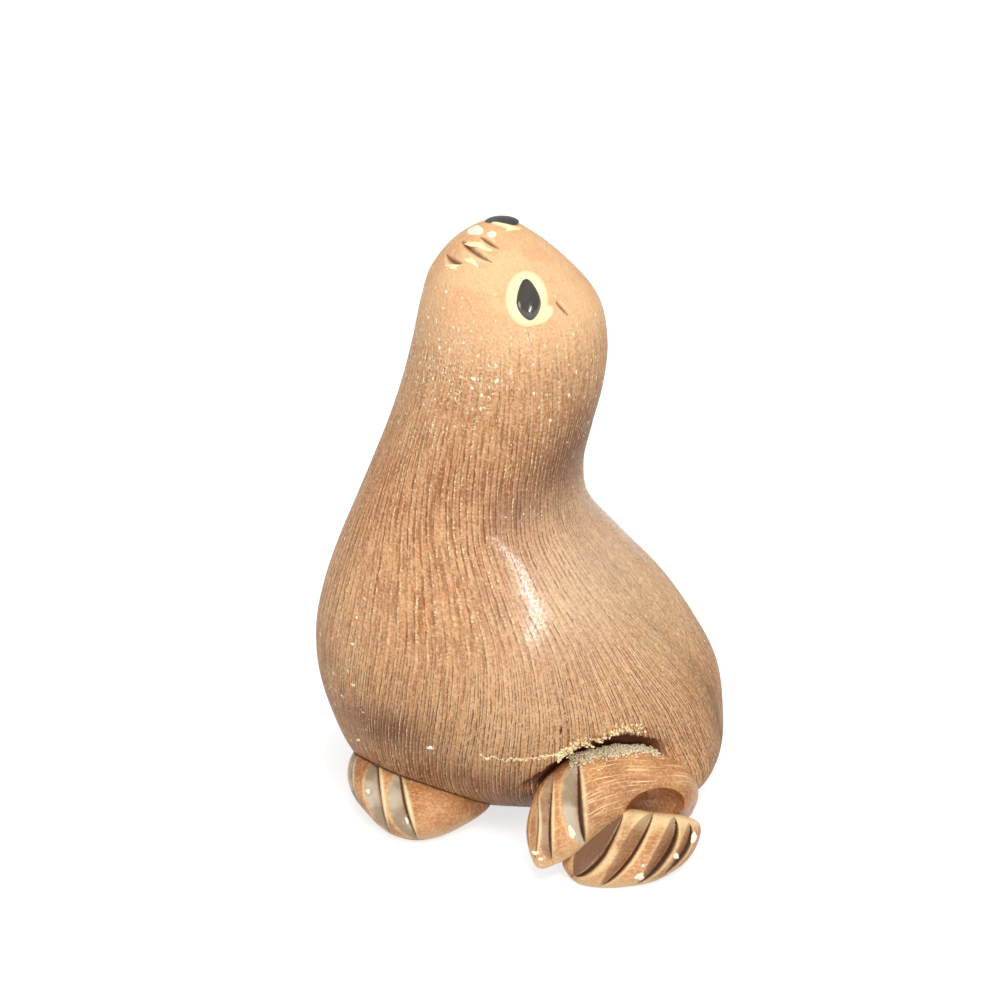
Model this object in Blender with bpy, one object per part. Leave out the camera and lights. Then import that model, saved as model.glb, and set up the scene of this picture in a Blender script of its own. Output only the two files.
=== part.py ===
"""Seal figurine: one piece of fired clay, sitting upright with its muzzle in the air.

The row frame is in metres, with +Z up. The seal faces -X, its left flank faces -Y, and the origin is on the
ground under the middle of the belly. The torso, neck and head are one lofted form. The flippers are lofted
tongues that grow out of it, and the hollows beside them, the digits, the mouth, the ears and the eye rims are
carved with cutters that lie along those same forms.
"""

import math
from typing import NamedTuple

import bmesh
import bpy
from mathutils import Vector


class Section(NamedTuple):
    """A level section of the torso, neck and head: how far it reaches forwards, backwards and sideways."""

    height: float
    front: float
    back: float
    half_width: float


class Rib(NamedTuple):
    """A section across a flipper: its inner and outer edge, and half of its thickness."""

    inner: tuple[float, float, float]
    outer: tuple[float, float, float]
    half_thickness: float


class Gouge(NamedTuple):
    """A crescent cut between two places on a form, each a share of its length and an angle round it."""

    start: tuple[float, float]
    end: tuple[float, float]
    bow: float
    width: float
    depth: float


class Swell(NamedTuple):
    """A soft rise of the torso: its middle as an angle and a height, how far it spreads, and how high it is."""

    angle: float
    height: float
    angle_spread: float
    height_spread: float
    rise: float


class Lens(NamedTuple):
    """A flattened ball on a form: its place, its size across, along and out of the surface, and its lift."""

    place: tuple[float, float]
    radii: tuple[float, float, float]
    lift: float
    taper: float


# The main sizes: from the chest to the rump, over the flanks and the hind flippers, and up to the muzzle.
LENGTH = 0.0616
WIDTH = 0.0490
HEIGHT = 0.0920

# The length, width and height for which the tables below give their places.
DRAWN = (0.0616, 0.0490, 0.0920)

# The torso, neck and head, from just below the ground up to the tip of the muzzle.
BODY_SECTIONS = (
    Section(-0.0015, 0.0120, 0.0160, 0.0034),
    Section(0.0012, 0.0185, 0.0225, 0.0074),
    Section(0.0045, 0.0235, 0.0277, 0.0120),
    Section(0.0090, 0.0270, 0.0299, 0.0162),
    Section(0.0155, 0.0295, 0.0300, 0.0192),
    Section(0.0224, 0.0311, 0.0289, 0.0206),
    Section(0.0292, 0.0312, 0.0255, 0.0204),
    Section(0.0359, 0.0298, 0.0210, 0.0190),
    Section(0.0426, 0.0275, 0.0149, 0.0169),
    Section(0.0491, 0.0248, 0.0096, 0.0147),
    Section(0.0554, 0.0222, 0.0085, 0.0133),
    Section(0.0617, 0.0197, 0.0097, 0.0129),
    Section(0.0680, 0.0176, 0.0112, 0.0130),
    Section(0.0741, 0.0160, 0.0117, 0.0128),
    Section(0.0801, 0.0147, 0.0105, 0.0116),
    Section(0.0850, 0.0131, 0.0067, 0.0092),
    Section(0.0895, 0.0092, 0.0015, 0.0055),
    Section(0.0920, 0.0034, -0.0034, 0.0000),
)

# The haunch on the left, where the tail turns forwards under the upper hind flipper.
HAUNCH = Swell(2.27, 0.0060, 0.46, 0.0082, 0.0042)

# The front flipper of the left side, from its hind end under the belly to its front end at the chest.
FRONT_FLIPPER_RIBS = (
    Rib((-0.0052, -0.0095, 0.0030), (-0.0052, -0.0095, 0.0030), 0.0000),
    Rib((-0.0098, -0.0080, 0.0060), (-0.0106, -0.0138, 0.0010), 0.0034),
    Rib((-0.0145, -0.0085, 0.0080), (-0.0155, -0.0160, 0.0008), 0.0042),
    Rib((-0.0186, -0.0070, 0.0092), (-0.0202, -0.0146, 0.0010), 0.0042),
    Rib((-0.0216, -0.0045, 0.0100), (-0.0237, -0.0107, 0.0024), 0.0038),
    Rib((-0.0230, -0.0020, 0.0094), (-0.0248, -0.0050, 0.0030), 0.0029),
    Rib((-0.0241, -0.0006, 0.0060), (-0.0241, -0.0006, 0.0060), 0.0000),
)

# The tail, which fills the space behind the two hind flippers and ties them to the rump.
TAIL_RIBS = (
    Rib((0.0175, 0.0010, 0.0125), (0.0180, 0.0000, 0.0035), 0.0050),
    Rib((0.0210, -0.0055, 0.0135), (0.0215, -0.0080, 0.0035), 0.0054),
    Rib((0.0190, -0.0118, 0.0125), (0.0200, -0.0155, 0.0035), 0.0044),
    Rib((0.0125, -0.0150, 0.0115), (0.0125, -0.0210, 0.0025), 0.0034),
    Rib((0.0075, -0.0190, 0.0060), (0.0075, -0.0190, 0.0060), 0.0000),
)

# The upper hind flipper, from its root in the rump, round to the left flank and forwards.
UPPER_HIND_RIBS = (
    Rib((0.0236, -0.0090, 0.0046), (0.0228, -0.0118, 0.0016), 0.0022),
    Rib((0.0235, -0.0108, 0.0094), (0.0230, -0.0154, 0.0050), 0.0025),
    Rib((0.0212, -0.0126, 0.0132), (0.0220, -0.0182, 0.0064), 0.0028),
    Rib((0.0178, -0.0144, 0.0152), (0.0184, -0.0195, 0.0070), 0.0027),
    Rib((0.0142, -0.0150, 0.0161), (0.0144, -0.0206, 0.0068), 0.0026),
    Rib((0.0108, -0.0156, 0.0162), (0.0108, -0.0224, 0.0058), 0.0025),
    Rib((0.0074, -0.0162, 0.0154), (0.0078, -0.0245, 0.0044), 0.0024),
    Rib((0.0044, -0.0166, 0.0134), (0.0046, -0.0262, 0.0034), 0.0022),
    Rib((0.0016, -0.0182, 0.0104), (0.0016, -0.0266, 0.0032), 0.0018),
    Rib((0.0002, -0.0226, 0.0066), (0.0002, -0.0226, 0.0066), 0.0000),
)

# The lower hind flipper, from its outer end at the rump to its front end under the upper one.
LOWER_HIND_RIBS = (
    Rib((0.0256, -0.0184, 0.0046), (0.0256, -0.0184, 0.0046), 0.0000),
    Rib((0.0232, -0.0188, 0.0068), (0.0234, -0.0222, 0.0014), 0.0026),
    Rib((0.0190, -0.0198, 0.0080), (0.0192, -0.0262, 0.0006), 0.0032),
    Rib((0.0145, -0.0196, 0.0084), (0.0145, -0.0276, 0.0004), 0.0032),
    Rib((0.0106, -0.0198, 0.0066), (0.0104, -0.0277, 0.0004), 0.0028),
    Rib((0.0074, -0.0214, 0.0044), (0.0072, -0.0264, 0.0005), 0.0021),
    Rib((0.0054, -0.0238, 0.0022), (0.0054, -0.0238, 0.0022), 0.0000),
)

# The crevice that parts the upper hind flipper from the flank above it.
CREVICE_RIBS = (
    Rib((0.0242, -0.0150, 0.0112), (0.0242, -0.0150, 0.0112), 0.0000),
    Rib((0.0206, -0.0150, 0.0172), (0.0210, -0.0160, 0.0124), 0.0018),
    Rib((0.0150, -0.0152, 0.0196), (0.0150, -0.0162, 0.0142), 0.0022),
    Rib((0.0096, -0.0162, 0.0196), (0.0096, -0.0174, 0.0138), 0.0024),
    Rib((0.0040, -0.0172, 0.0160), (0.0040, -0.0180, 0.0110), 0.0022),
    Rib((-0.0010, -0.0176, 0.0110), (-0.0010, -0.0176, 0.0110), 0.0000),
)

# The hollow under the arch of the upper hind flipper: its middle and its half sizes.
HOLLOW_CENTRE = (0.0192, -0.0205, 0.0086)
HOLLOW_RADII = (0.0048, 0.0046, 0.0034)

# The crescents that part the digits, in order from the front of the seal to the back.
FRONT_GOUGES = (
    Gouge((0.72, 2.20), (0.66, 0.50), 0.02, 0.0012, 0.0008),
    Gouge((0.60, 2.30), (0.487, 0.25), 0.02, 0.0018, 0.0012),
    Gouge((0.463, 2.25), (0.354, 0.15), 0.02, 0.0018, 0.0012),
)
UPPER_GOUGES = (
    Gouge((0.865, 2.60), (0.900, 0.40), 0.01, 0.0010, 0.0006),
    Gouge((0.785, 2.70), (0.800, 0.40), 0.03, 0.0014, 0.0009),
    Gouge((0.665, 2.75), (0.637, 0.35), 0.035, 0.0019, 0.0012),
)
LOWER_GOUGES = (
    Gouge((0.510, 2.60), (0.830, 0.60), -0.02, 0.0030, 0.0014),
    Gouge((0.360, 2.75), (0.640, 0.20), -0.03, 0.0015, 0.0011),
    Gouge((0.262, 2.60), (0.440, 0.20), -0.03, 0.0015, 0.0011),
    Gouge((0.180, 2.30), (0.320, 0.40), -0.02, 0.0012, 0.0008),
)

# The mouth, with a crease above and below it, and the slit of the ear, on each side of the head.
FACE_GOUGES = (
    Gouge((0.942, 0.40), (0.921, 1.45), 0.0, 0.0009, 0.0006),
    Gouge((0.958, 0.90), (0.942, 1.62), 0.0, 0.0008, 0.0005),
    Gouge((0.912, 0.30), (0.917, 0.90), 0.0, 0.0008, 0.0005),
    Gouge((0.862, 2.25), (0.840, 2.25), 0.0, 0.0007, 0.0005),
)

# The eyes, of raised glaze in shallow dishes, and the cap of glaze on the nose.
EYE_DISH = Lens((0.869, 1.83), (0.0030, 0.0040, 0.0014), 0.0007, 0.10)
EYE_GLAZE = Lens((0.869, 1.83), (0.0017, 0.0032, 0.0014), -0.0006, 0.35)
NOSE_CENTRE = (-0.0034, 0.0, 0.0911)
NOSE_RADII = (0.0027, 0.0026, 0.0013)

# The section of a crescent cut, in shares of its width: where the sloping side starts, where it meets the foot
# of the steep side, and where the steep side comes out.
SLOPE_START = -1.1
WALL_FOOT = 0.3
WALL_TOP = 0.7

# How finely the forms are faceted.
BODY_FACETS_ROUND = 44
BODY_FACETS_ALONG = 48
TONGUE_FACETS_ROUND = 16
TONGUE_FACETS_PER_RIB = 4
GOUGE_FACETS = 8
LENS_FACETS = 16


def clear_scene():
    """Removes everything that the start-up scene holds."""
    for thing in list(bpy.data.objects):
        bpy.data.objects.remove(thing, do_unlink=True)


def clay(name, colour, roughness):
    """A finish of fired clay."""
    material = bpy.data.materials.new(name)
    material.use_nodes = True
    shader = material.node_tree.nodes["Principled BSDF"]
    shader.inputs["Base Color"].default_value = (*colour, 1.0)
    shader.inputs["Roughness"].default_value = roughness
    shader.inputs["Metallic"].default_value = 0.0
    return material


def sized(place):
    """A place from the tables, stretched from the drawn length, width and height to the main sizes."""
    x, y, z = place
    return Vector((x * LENGTH / DRAWN[0], y * WIDTH / DRAWN[1], z * HEIGHT / DRAWN[2]))


def smooth_value(values, position):
    """Reads a smooth curve through values. The first and last value only steer how the curve ends."""
    place = min(max(int(position), 0), len(values) - 4)
    part = position - place
    before, first, second, after = values[place : place + 4]
    return first + 0.5 * part * (
        second
        - before
        + part * (2 * before - 5 * first + 4 * second - after + part * (3 * (first - second) + after - before))
    )


def surface_normal(form, position, angle):
    """The direction out of a form's surface, from its slopes along and around."""
    step = 0.01
    along = form.point(min(position + step, form.length), angle) - form.point(max(position - step, 0.0), angle)
    around = form.point(position, angle + step) - form.point(position, angle - step)
    return around.cross(along).normalized()


class Torso:
    """The torso, neck and head, read by position along its sections and by angle from the chest to the left."""

    def __init__(self, sections, swell):
        self.swell = swell
        first = sections[0]
        last = sections[-2]
        below = Section(2 * first.height - sections[1].height, *(2 * a - b for a, b in zip(first[1:], sections[1][1:])))
        beyond = Section(last.height, -last.back, -last.front, -last.half_width)
        self.columns = list(zip(below, *sections, beyond))
        self.length = len(sections) - 1

    def point(self, position, angle):
        """The surface point at a position from 0 to the length."""
        height, front, back, half_width = (smooth_value(column, position) for column in self.columns)
        middle = (back - front) / 2
        reach = (back + front) / 2
        off_round = (angle - self.swell.angle) / self.swell.angle_spread
        off_height = (height - self.swell.height) / self.swell.height_spread
        rise = self.swell.rise * math.exp(-(off_round**2) - off_height**2)
        x = middle - (reach + rise) * math.cos(angle)
        return sized((x, -(half_width + rise) * math.sin(angle), height))


class Tongue:
    """A flipper, read by position along its ribs and by angle from the outer edge over the outer face."""

    def __init__(self, ribs):
        self.length = len(ribs) - 1
        flat = [(*rib.inner, *rib.outer, rib.half_thickness) for rib in ribs]
        flat.insert(0, self.continued(ribs[0], ribs[1]))
        flat.append(self.continued(ribs[-1], ribs[-2]))
        self.columns = list(zip(*flat))

    @staticmethod
    def continued(end, neighbour):
        """A rib past the end: the neighbour turned over where the tongue closes, else one step further on."""
        if end.half_thickness == 0:
            return (*neighbour.outer, *neighbour.inner, -neighbour.half_thickness)
        inner = (2 * a - b for a, b in zip(end.inner, neighbour.inner))
        outer = (2 * a - b for a, b in zip(end.outer, neighbour.outer))
        return (*inner, *outer, end.half_thickness)

    def rib(self, position):
        """The inner edge, the outer edge and half of the thickness at a position."""
        values = [smooth_value(column, position) for column in self.columns]
        return sized(values[0:3]), sized(values[3:6]), values[6]

    def centre(self, position):
        """The middle of the rib at a position."""
        inner, outer, _ = self.rib(min(max(position, 0.0), self.length))
        return (inner + outer) / 2

    def point(self, position, angle):
        """The surface point at a position from 0 to the length."""
        inner, outer, half_thickness = self.rib(position)
        wide = (outer - inner) / 2
        step = 0.05
        along = self.centre(position + step) - self.centre(position - step)
        thick = along.cross(wide).normalized() * half_thickness
        return (inner + outer) / 2 + wide * math.cos(angle) + thick * math.sin(angle)


def add_object(name, shape):
    """Turns a bmesh into a smooth-shaded object of the scene."""
    shape.normal_update()
    bmesh.ops.recalc_face_normals(shape, faces=shape.faces)
    mesh = bpy.data.meshes.new(name)
    shape.to_mesh(mesh)
    shape.free()
    mesh.shade_smooth()
    thing = bpy.data.objects.new(name, mesh)
    bpy.context.scene.collection.objects.link(thing)
    return thing


def close(shape):
    """Welds the seam and the poles of a wrapped grid, and caps its open ends."""
    bmesh.ops.remove_doubles(shape, verts=shape.verts, dist=1e-6)
    bmesh.ops.holes_fill(shape, edges=[edge for edge in shape.edges if edge.is_boundary], sides=0)


def loft(name, form, facets_along, facets_round):
    """Wraps a grid round a form as a closed skin."""
    shape = bmesh.new()
    bmesh.ops.create_grid(shape, x_segments=facets_round, y_segments=facets_along, size=0.5)
    for vertex in shape.verts:
        angle = (vertex.co.x + 0.5) * math.tau
        vertex.co = form.point((vertex.co.y + 0.5) * form.length, angle)
    close(shape)
    return add_object(name, shape)


def gouge_cutter(name, form, gouge):
    """The chip that one crescent cut takes out: a long sloping side, and a steep side towards its bow."""
    profile = ((SLOPE_START, 1.0), (WALL_TOP, 1.0), (WALL_FOOT, -1.0))
    shape = bmesh.new()
    bmesh.ops.create_grid(shape, x_segments=len(profile), y_segments=GOUGE_FACETS, size=0.5)

    def path(share):
        position = gouge.start[0] + (gouge.end[0] - gouge.start[0]) * share + gouge.bow * math.sin(math.pi * share)
        angle = gouge.start[1] + (gouge.end[1] - gouge.start[1]) * share
        return position * form.length, angle

    for vertex in shape.verts:
        share = vertex.co.y + 0.5
        corner = profile[round((vertex.co.x + 0.5) * len(profile)) % len(profile)]
        place = path(share)
        normal = surface_normal(form, *place)
        direction = form.point(*path(share + 0.01)) - form.point(*path(share - 0.01))
        across = normal.cross(direction).normalized()
        swell = max(math.sin(math.pi * share), 0.0) ** 0.7
        offset = across * corner[0] * gouge.width + normal * corner[1] * gouge.depth
        vertex.co = form.point(*place) + offset * swell
    close(shape)
    return add_object(name, shape)


def lens(name, form, pad):
    """A flattened ball set on a form, narrower at its upper end where it tapers."""
    position = pad.place[0] * form.length
    angle = pad.place[1]
    normal = surface_normal(form, position, angle)
    across = Vector((0, 0, 1)).cross(normal).normalized()
    upwards = normal.cross(across)
    shape = bmesh.new()
    bmesh.ops.create_uvsphere(shape, u_segments=LENS_FACETS, v_segments=LENS_FACETS // 2, radius=1.0)
    for vertex in shape.verts:
        wide = vertex.co.x * pad.radii[0] * (1.0 - pad.taper * vertex.co.y)
        vertex.co = (
            form.point(position, angle)
            + across * wide
            + upwards * vertex.co.y * pad.radii[1]
            + normal * (pad.lift + vertex.co.z * pad.radii[2])
        )
    return add_object(name, shape)


def ball(name, centre, radii):
    """A ball with three radii of its own."""
    shape = bmesh.new()
    bmesh.ops.create_uvsphere(shape, u_segments=LENS_FACETS, v_segments=LENS_FACETS // 2, radius=1.0)
    bmesh.ops.scale(shape, vec=radii, verts=shape.verts)
    bmesh.ops.translate(shape, vec=sized(centre), verts=shape.verts)
    return add_object(name, shape)


def ground_block():
    """Everything below the ground, which is cut away so that the belly and the flippers rest flat."""
    side = 0.12
    depth = 0.02
    shape = bmesh.new()
    bmesh.ops.create_cube(shape, size=1.0)
    bmesh.ops.scale(shape, vec=(side, side, depth), verts=shape.verts)
    bmesh.ops.translate(shape, vec=(0, 0, -depth / 2), verts=shape.verts)
    return add_object("ground", shape)


def on_both_sides(thing):
    """Repeats an object on the right side of the seal."""
    modifier = thing.modifiers.new("right_side", "MIRROR")
    modifier.use_axis = (False, True, False)
    modifier.use_mirror_merge = False
    return thing


def boolean(target, operation, other):
    """Joins another object to the target, or cuts it away, and hides that object."""
    modifier = target.modifiers.new(f"{operation.lower()}_{other.name}", "BOOLEAN")
    modifier.operation = operation
    modifier.object = other
    modifier.solver = "EXACT"
    other.hide_render = True
    other.display_type = "WIRE"


def flipper(name, ribs, gouges):
    """A lofted flipper with its digits carved."""
    form = Tongue(ribs)
    thing = loft(name, form, TONGUE_FACETS_PER_RIB * form.length, TONGUE_FACETS_ROUND)
    for number, gouge in enumerate(gouges, 1):
        boolean(thing, "DIFFERENCE", gouge_cutter(f"{name}_gouge_{number}", form, gouge))
    return thing


def build():
    """Models the figurine as one solid."""
    clear_scene()
    torso = Torso(BODY_SECTIONS, HAUNCH)
    figurine = loft("seal_figurine", torso, BODY_FACETS_ALONG, BODY_FACETS_ROUND)
    figurine.data.materials.append(clay("combed_clay", (0.47, 0.26, 0.13), 0.45))
    boolean(figurine, "UNION", flipper("tail", TAIL_RIBS, ()))
    boolean(figurine, "DIFFERENCE", flipper("crevice", CREVICE_RIBS, ()))
    boolean(figurine, "UNION", flipper("upper_hind_flipper", UPPER_HIND_RIBS, UPPER_GOUGES))
    boolean(figurine, "DIFFERENCE", ball("hollow", HOLLOW_CENTRE, HOLLOW_RADII))
    boolean(figurine, "UNION", flipper("lower_hind_flipper", LOWER_HIND_RIBS, LOWER_GOUGES))
    boolean(figurine, "UNION", on_both_sides(flipper("front_flippers", FRONT_FLIPPER_RIBS, FRONT_GOUGES)))
    boolean(figurine, "DIFFERENCE", on_both_sides(lens("eye_dishes", torso, EYE_DISH)))
    boolean(figurine, "UNION", on_both_sides(lens("eyes", torso, EYE_GLAZE)))
    for number, gouge in enumerate(FACE_GOUGES, 1):
        boolean(figurine, "DIFFERENCE", on_both_sides(gouge_cutter(f"face_gouge_{number}", torso, gouge)))
    boolean(figurine, "UNION", ball("nose", NOSE_CENTRE, NOSE_RADII))
    boolean(figurine, "DIFFERENCE", ground_block())


build()
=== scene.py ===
"""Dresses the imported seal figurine: combed hide, carved flippers, glazed eyes and nose, crumbs in the folds."""
import logging
import math
from dataclasses import dataclass
from enum import Enum
from functools import reduce
from typing import NamedTuple

import bmesh
import bpy
import numpy as np
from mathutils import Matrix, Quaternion, Vector
from mathutils.kdtree import KDTree

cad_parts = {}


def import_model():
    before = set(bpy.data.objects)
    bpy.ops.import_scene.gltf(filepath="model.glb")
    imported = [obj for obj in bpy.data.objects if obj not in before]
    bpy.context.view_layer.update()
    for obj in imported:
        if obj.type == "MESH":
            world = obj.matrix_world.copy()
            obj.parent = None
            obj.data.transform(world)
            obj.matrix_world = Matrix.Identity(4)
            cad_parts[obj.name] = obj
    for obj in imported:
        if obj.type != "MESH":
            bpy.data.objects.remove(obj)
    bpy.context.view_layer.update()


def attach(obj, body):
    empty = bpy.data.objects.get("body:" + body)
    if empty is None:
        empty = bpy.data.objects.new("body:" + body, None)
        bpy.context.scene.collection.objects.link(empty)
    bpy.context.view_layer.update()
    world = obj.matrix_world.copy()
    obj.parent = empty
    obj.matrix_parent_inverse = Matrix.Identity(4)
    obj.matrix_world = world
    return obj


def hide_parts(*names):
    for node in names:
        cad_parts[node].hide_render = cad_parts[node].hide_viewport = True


NODE = "seal_figurine"
BODY = "root"

LOG = logging.getLogger("seal")


class Section(NamedTuple):
    """One oval level of the torso: its height, and its reach to the chest, to the back and to each side."""

    height: float
    front: float
    back: float
    half_width: float


class Rib(NamedTuple):
    """One rib of a flipper: the middle of its inner and outer edge, and half its thickness."""

    inner: tuple[float, float, float]
    outer: tuple[float, float, float]
    half_thickness: float


class Gouge(NamedTuple):
    """One crescent cut: its two ends as share of length and angle, its bow, its width and its depth."""

    start: tuple[float, float]
    end: tuple[float, float]
    bow: float
    width: float
    depth: float


class Swell(NamedTuple):
    """A soft rise of the torso: its middle as an angle and a height, how far it spreads, and how high it is."""

    angle: float
    height: float
    angle_spread: float
    height_spread: float
    rise: float


class SoftPatch(NamedTuple):
    """A soft patch on the hide: its centre seen from the left flank, its size and its strength."""

    x: float
    z: float
    wide: float
    tall: float
    strength: float


class Sweep(NamedTuple):
    """A turn of the combed lines: its degrees, its top and bottom, and the angles where it comes and goes."""

    degrees: float
    top: float
    bottom: float
    rising: tuple[float, float]
    falling: tuple[float, float]


class FoldStation(NamedTuple):
    """One station of the dark fold: its place, its level, half its height, its middle and its reach."""

    x: float
    level: float
    half_height: float
    middle: float
    reach: float


@dataclass(frozen=True)
class Dab:
    """One spot of glaze or slip: its middle on the form, and its size as the photograph's view shows it."""

    share: float
    angle: float
    wide: float
    tall: float
    high: float
    taper: float = 0.0
    turn: float = 0.0
    uneven: float = 0.0
    right: float = 0.0
    up: float = 0.0


# The forms of the plain solid, in metres: the hide and the flippers here lie on the same surfaces.
BODY_SECTIONS = (
    Section(-0.0015, 0.0120, 0.0160, 0.0034),
    Section(0.0012, 0.0185, 0.0225, 0.0074),
    Section(0.0045, 0.0235, 0.0277, 0.0120),
    Section(0.0090, 0.0270, 0.0299, 0.0162),
    Section(0.0155, 0.0295, 0.0300, 0.0192),
    Section(0.0224, 0.0311, 0.0289, 0.0206),
    Section(0.0292, 0.0312, 0.0255, 0.0204),
    Section(0.0359, 0.0298, 0.0210, 0.0190),
    Section(0.0426, 0.0275, 0.0149, 0.0169),
    Section(0.0491, 0.0248, 0.0096, 0.0147),
    Section(0.0554, 0.0222, 0.0085, 0.0133),
    Section(0.0617, 0.0197, 0.0097, 0.0129),
    Section(0.0680, 0.0176, 0.0112, 0.0130),
    Section(0.0741, 0.0160, 0.0117, 0.0128),
    Section(0.0801, 0.0147, 0.0105, 0.0116),
    Section(0.0850, 0.0131, 0.0067, 0.0092),
    Section(0.0895, 0.0092, 0.0015, 0.0055),
    Section(0.0920, 0.0034, -0.0034, 0.0000),
)
HAUNCH = Swell(2.27, 0.0060, 0.46, 0.0082, 0.0042)
FRONT_FLIPPER_RIBS = (
    Rib((-0.0052, -0.0095, 0.0030), (-0.0052, -0.0095, 0.0030), 0.0000),
    Rib((-0.0098, -0.0080, 0.0060), (-0.0106, -0.0138, 0.0010), 0.0034),
    Rib((-0.0145, -0.0085, 0.0080), (-0.0155, -0.0160, 0.0008), 0.0042),
    Rib((-0.0186, -0.0070, 0.0092), (-0.0202, -0.0146, 0.0010), 0.0042),
    Rib((-0.0216, -0.0045, 0.0100), (-0.0237, -0.0107, 0.0024), 0.0038),
    Rib((-0.0230, -0.0020, 0.0094), (-0.0248, -0.0050, 0.0030), 0.0029),
    Rib((-0.0241, -0.0006, 0.0060), (-0.0241, -0.0006, 0.0060), 0.0000),
)
TAIL_RIBS = (
    Rib((0.0175, 0.0010, 0.0125), (0.0180, 0.0000, 0.0035), 0.0050),
    Rib((0.0210, -0.0055, 0.0135), (0.0215, -0.0080, 0.0035), 0.0054),
    Rib((0.0190, -0.0118, 0.0125), (0.0200, -0.0155, 0.0035), 0.0044),
    Rib((0.0125, -0.0150, 0.0115), (0.0125, -0.0210, 0.0025), 0.0034),
    Rib((0.0075, -0.0190, 0.0060), (0.0075, -0.0190, 0.0060), 0.0000),
)
UPPER_HIND_RIBS = (
    Rib((0.0236, -0.0090, 0.0046), (0.0228, -0.0118, 0.0016), 0.0022),
    Rib((0.0235, -0.0108, 0.0094), (0.0230, -0.0154, 0.0050), 0.0025),
    Rib((0.0212, -0.0126, 0.0132), (0.0220, -0.0182, 0.0064), 0.0028),
    Rib((0.0178, -0.0144, 0.0152), (0.0184, -0.0195, 0.0070), 0.0027),
    Rib((0.0142, -0.0150, 0.0161), (0.0144, -0.0206, 0.0068), 0.0026),
    Rib((0.0108, -0.0156, 0.0162), (0.0108, -0.0224, 0.0058), 0.0025),
    Rib((0.0074, -0.0162, 0.0154), (0.0078, -0.0245, 0.0044), 0.0024),
    Rib((0.0044, -0.0166, 0.0134), (0.0046, -0.0262, 0.0034), 0.0022),
    Rib((0.0016, -0.0182, 0.0104), (0.0016, -0.0266, 0.0032), 0.0018),
    Rib((0.0002, -0.0226, 0.0066), (0.0002, -0.0226, 0.0066), 0.0000),
)
LOWER_HIND_RIBS = (
    Rib((0.0256, -0.0184, 0.0046), (0.0256, -0.0184, 0.0046), 0.0000),
    Rib((0.0232, -0.0188, 0.0068), (0.0234, -0.0222, 0.0014), 0.0026),
    Rib((0.0190, -0.0198, 0.0080), (0.0192, -0.0262, 0.0006), 0.0032),
    Rib((0.0145, -0.0196, 0.0084), (0.0145, -0.0276, 0.0004), 0.0032),
    Rib((0.0106, -0.0198, 0.0066), (0.0104, -0.0277, 0.0004), 0.0028),
    Rib((0.0074, -0.0214, 0.0044), (0.0072, -0.0264, 0.0005), 0.0021),
    Rib((0.0054, -0.0238, 0.0022), (0.0054, -0.0238, 0.0022), 0.0000),
)
# The carver's cuts, from the edge that the tool entered to the edge where it ran out.
FRONT_GOUGES = (
    Gouge((0.72, 2.20), (0.66, 0.50), 0.02, 0.0012, 0.0007),
    Gouge((0.60, 2.30), (0.487, 0.25), 0.02, 0.0018, 0.0010),
    Gouge((0.463, 2.25), (0.354, 0.15), 0.02, 0.0018, 0.0010),
)
UPPER_GOUGES = (
    Gouge((0.865, 2.60), (0.900, 0.40), 0.01, 0.0010, 0.0006),
    Gouge((0.785, 2.70), (0.800, 0.40), 0.03, 0.0014, 0.0009),
    Gouge((0.665, 2.75), (0.637, 0.35), 0.035, 0.0019, 0.0011),
)
LOWER_GOUGES = (
    Gouge((0.510, 2.60), (0.830, 0.60), -0.02, 0.0030, 0.0014),
    Gouge((0.360, 2.75), (0.640, 0.20), -0.03, 0.0015, 0.0010),
    Gouge((0.262, 2.60), (0.440, 0.20), -0.03, 0.0015, 0.0010),
    Gouge((0.180, 2.30), (0.320, 0.40), -0.02, 0.0012, 0.0007),
)
MOUTH_SLITS = (
    Gouge((0.942, 0.40), (0.921, 1.45), 0.004, 0.00042, 0.0005),
    Gouge((0.958, 0.90), (0.942, 1.62), 0.003, 0.00034, 0.0004),
    Gouge((0.914, 0.32), (0.913, 0.86), -0.002, 0.00040, 0.0005),
)
EAR_SLITS = (Gouge((0.857, 2.22), (0.832, 2.30), 0.0, 0.00030, 0.0003),)
# Soft patches on the hide, as the left flank shows them. The dark ones are painted shade: in the neck fold, on
# the low chest, under the belly and beside the fold. The pale ones are paler slip together with painted light on
# the head, the belly, the upper back and the rump. The cheek crumbles, the waxed spot is rubbed shiny and carries
# a painted glow, and the chest is flecked.
SHADE_PATCHES = (
    SoftPatch(-0.0200, 0.0190, 0.0070, 0.0045, 0.85),
    SoftPatch(-0.0130, 0.0120, 0.0080, 0.0030, 0.55),
    SoftPatch(0.0010, 0.0080, 0.0110, 0.0050, 0.75),
    SoftPatch(0.0085, 0.0625, 0.0042, 0.0070, 0.70),
    SoftPatch(0.0035, 0.0575, 0.0044, 0.0046, 0.65),
    SoftPatch(-0.0020, 0.0530, 0.0038, 0.0040, 0.50),
    SoftPatch(-0.0110, 0.0560, 0.0060, 0.0060, 0.15),
    SoftPatch(0.0160, 0.0185, 0.0035, 0.0022, 0.60),
)
# Paler slip together with painted light on the head, the belly, the upper back and the rump.
PALE_AND_LIT_PATCHES = (
    SoftPatch(0.0000, 0.0830, 0.0300, 0.0100, 0.75),
    SoftPatch(0.0010, 0.0340, 0.0100, 0.0120, 0.25),
    SoftPatch(-0.0020, 0.0230, 0.0160, 0.0080, 0.35),
    SoftPatch(0.0130, 0.0430, 0.0090, 0.0080, 0.60),
    SoftPatch(0.0200, 0.0320, 0.0070, 0.0100, 0.55),
    SoftPatch(-0.0250, 0.0350, 0.0060, 0.0120, 0.25),
    SoftPatch(-0.0190, 0.0660, 0.0050, 0.0060, 0.25),
)
CHEEK = SoftPatch(0.0060, 0.0700, 0.0080, 0.0120, 0.85)
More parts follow.
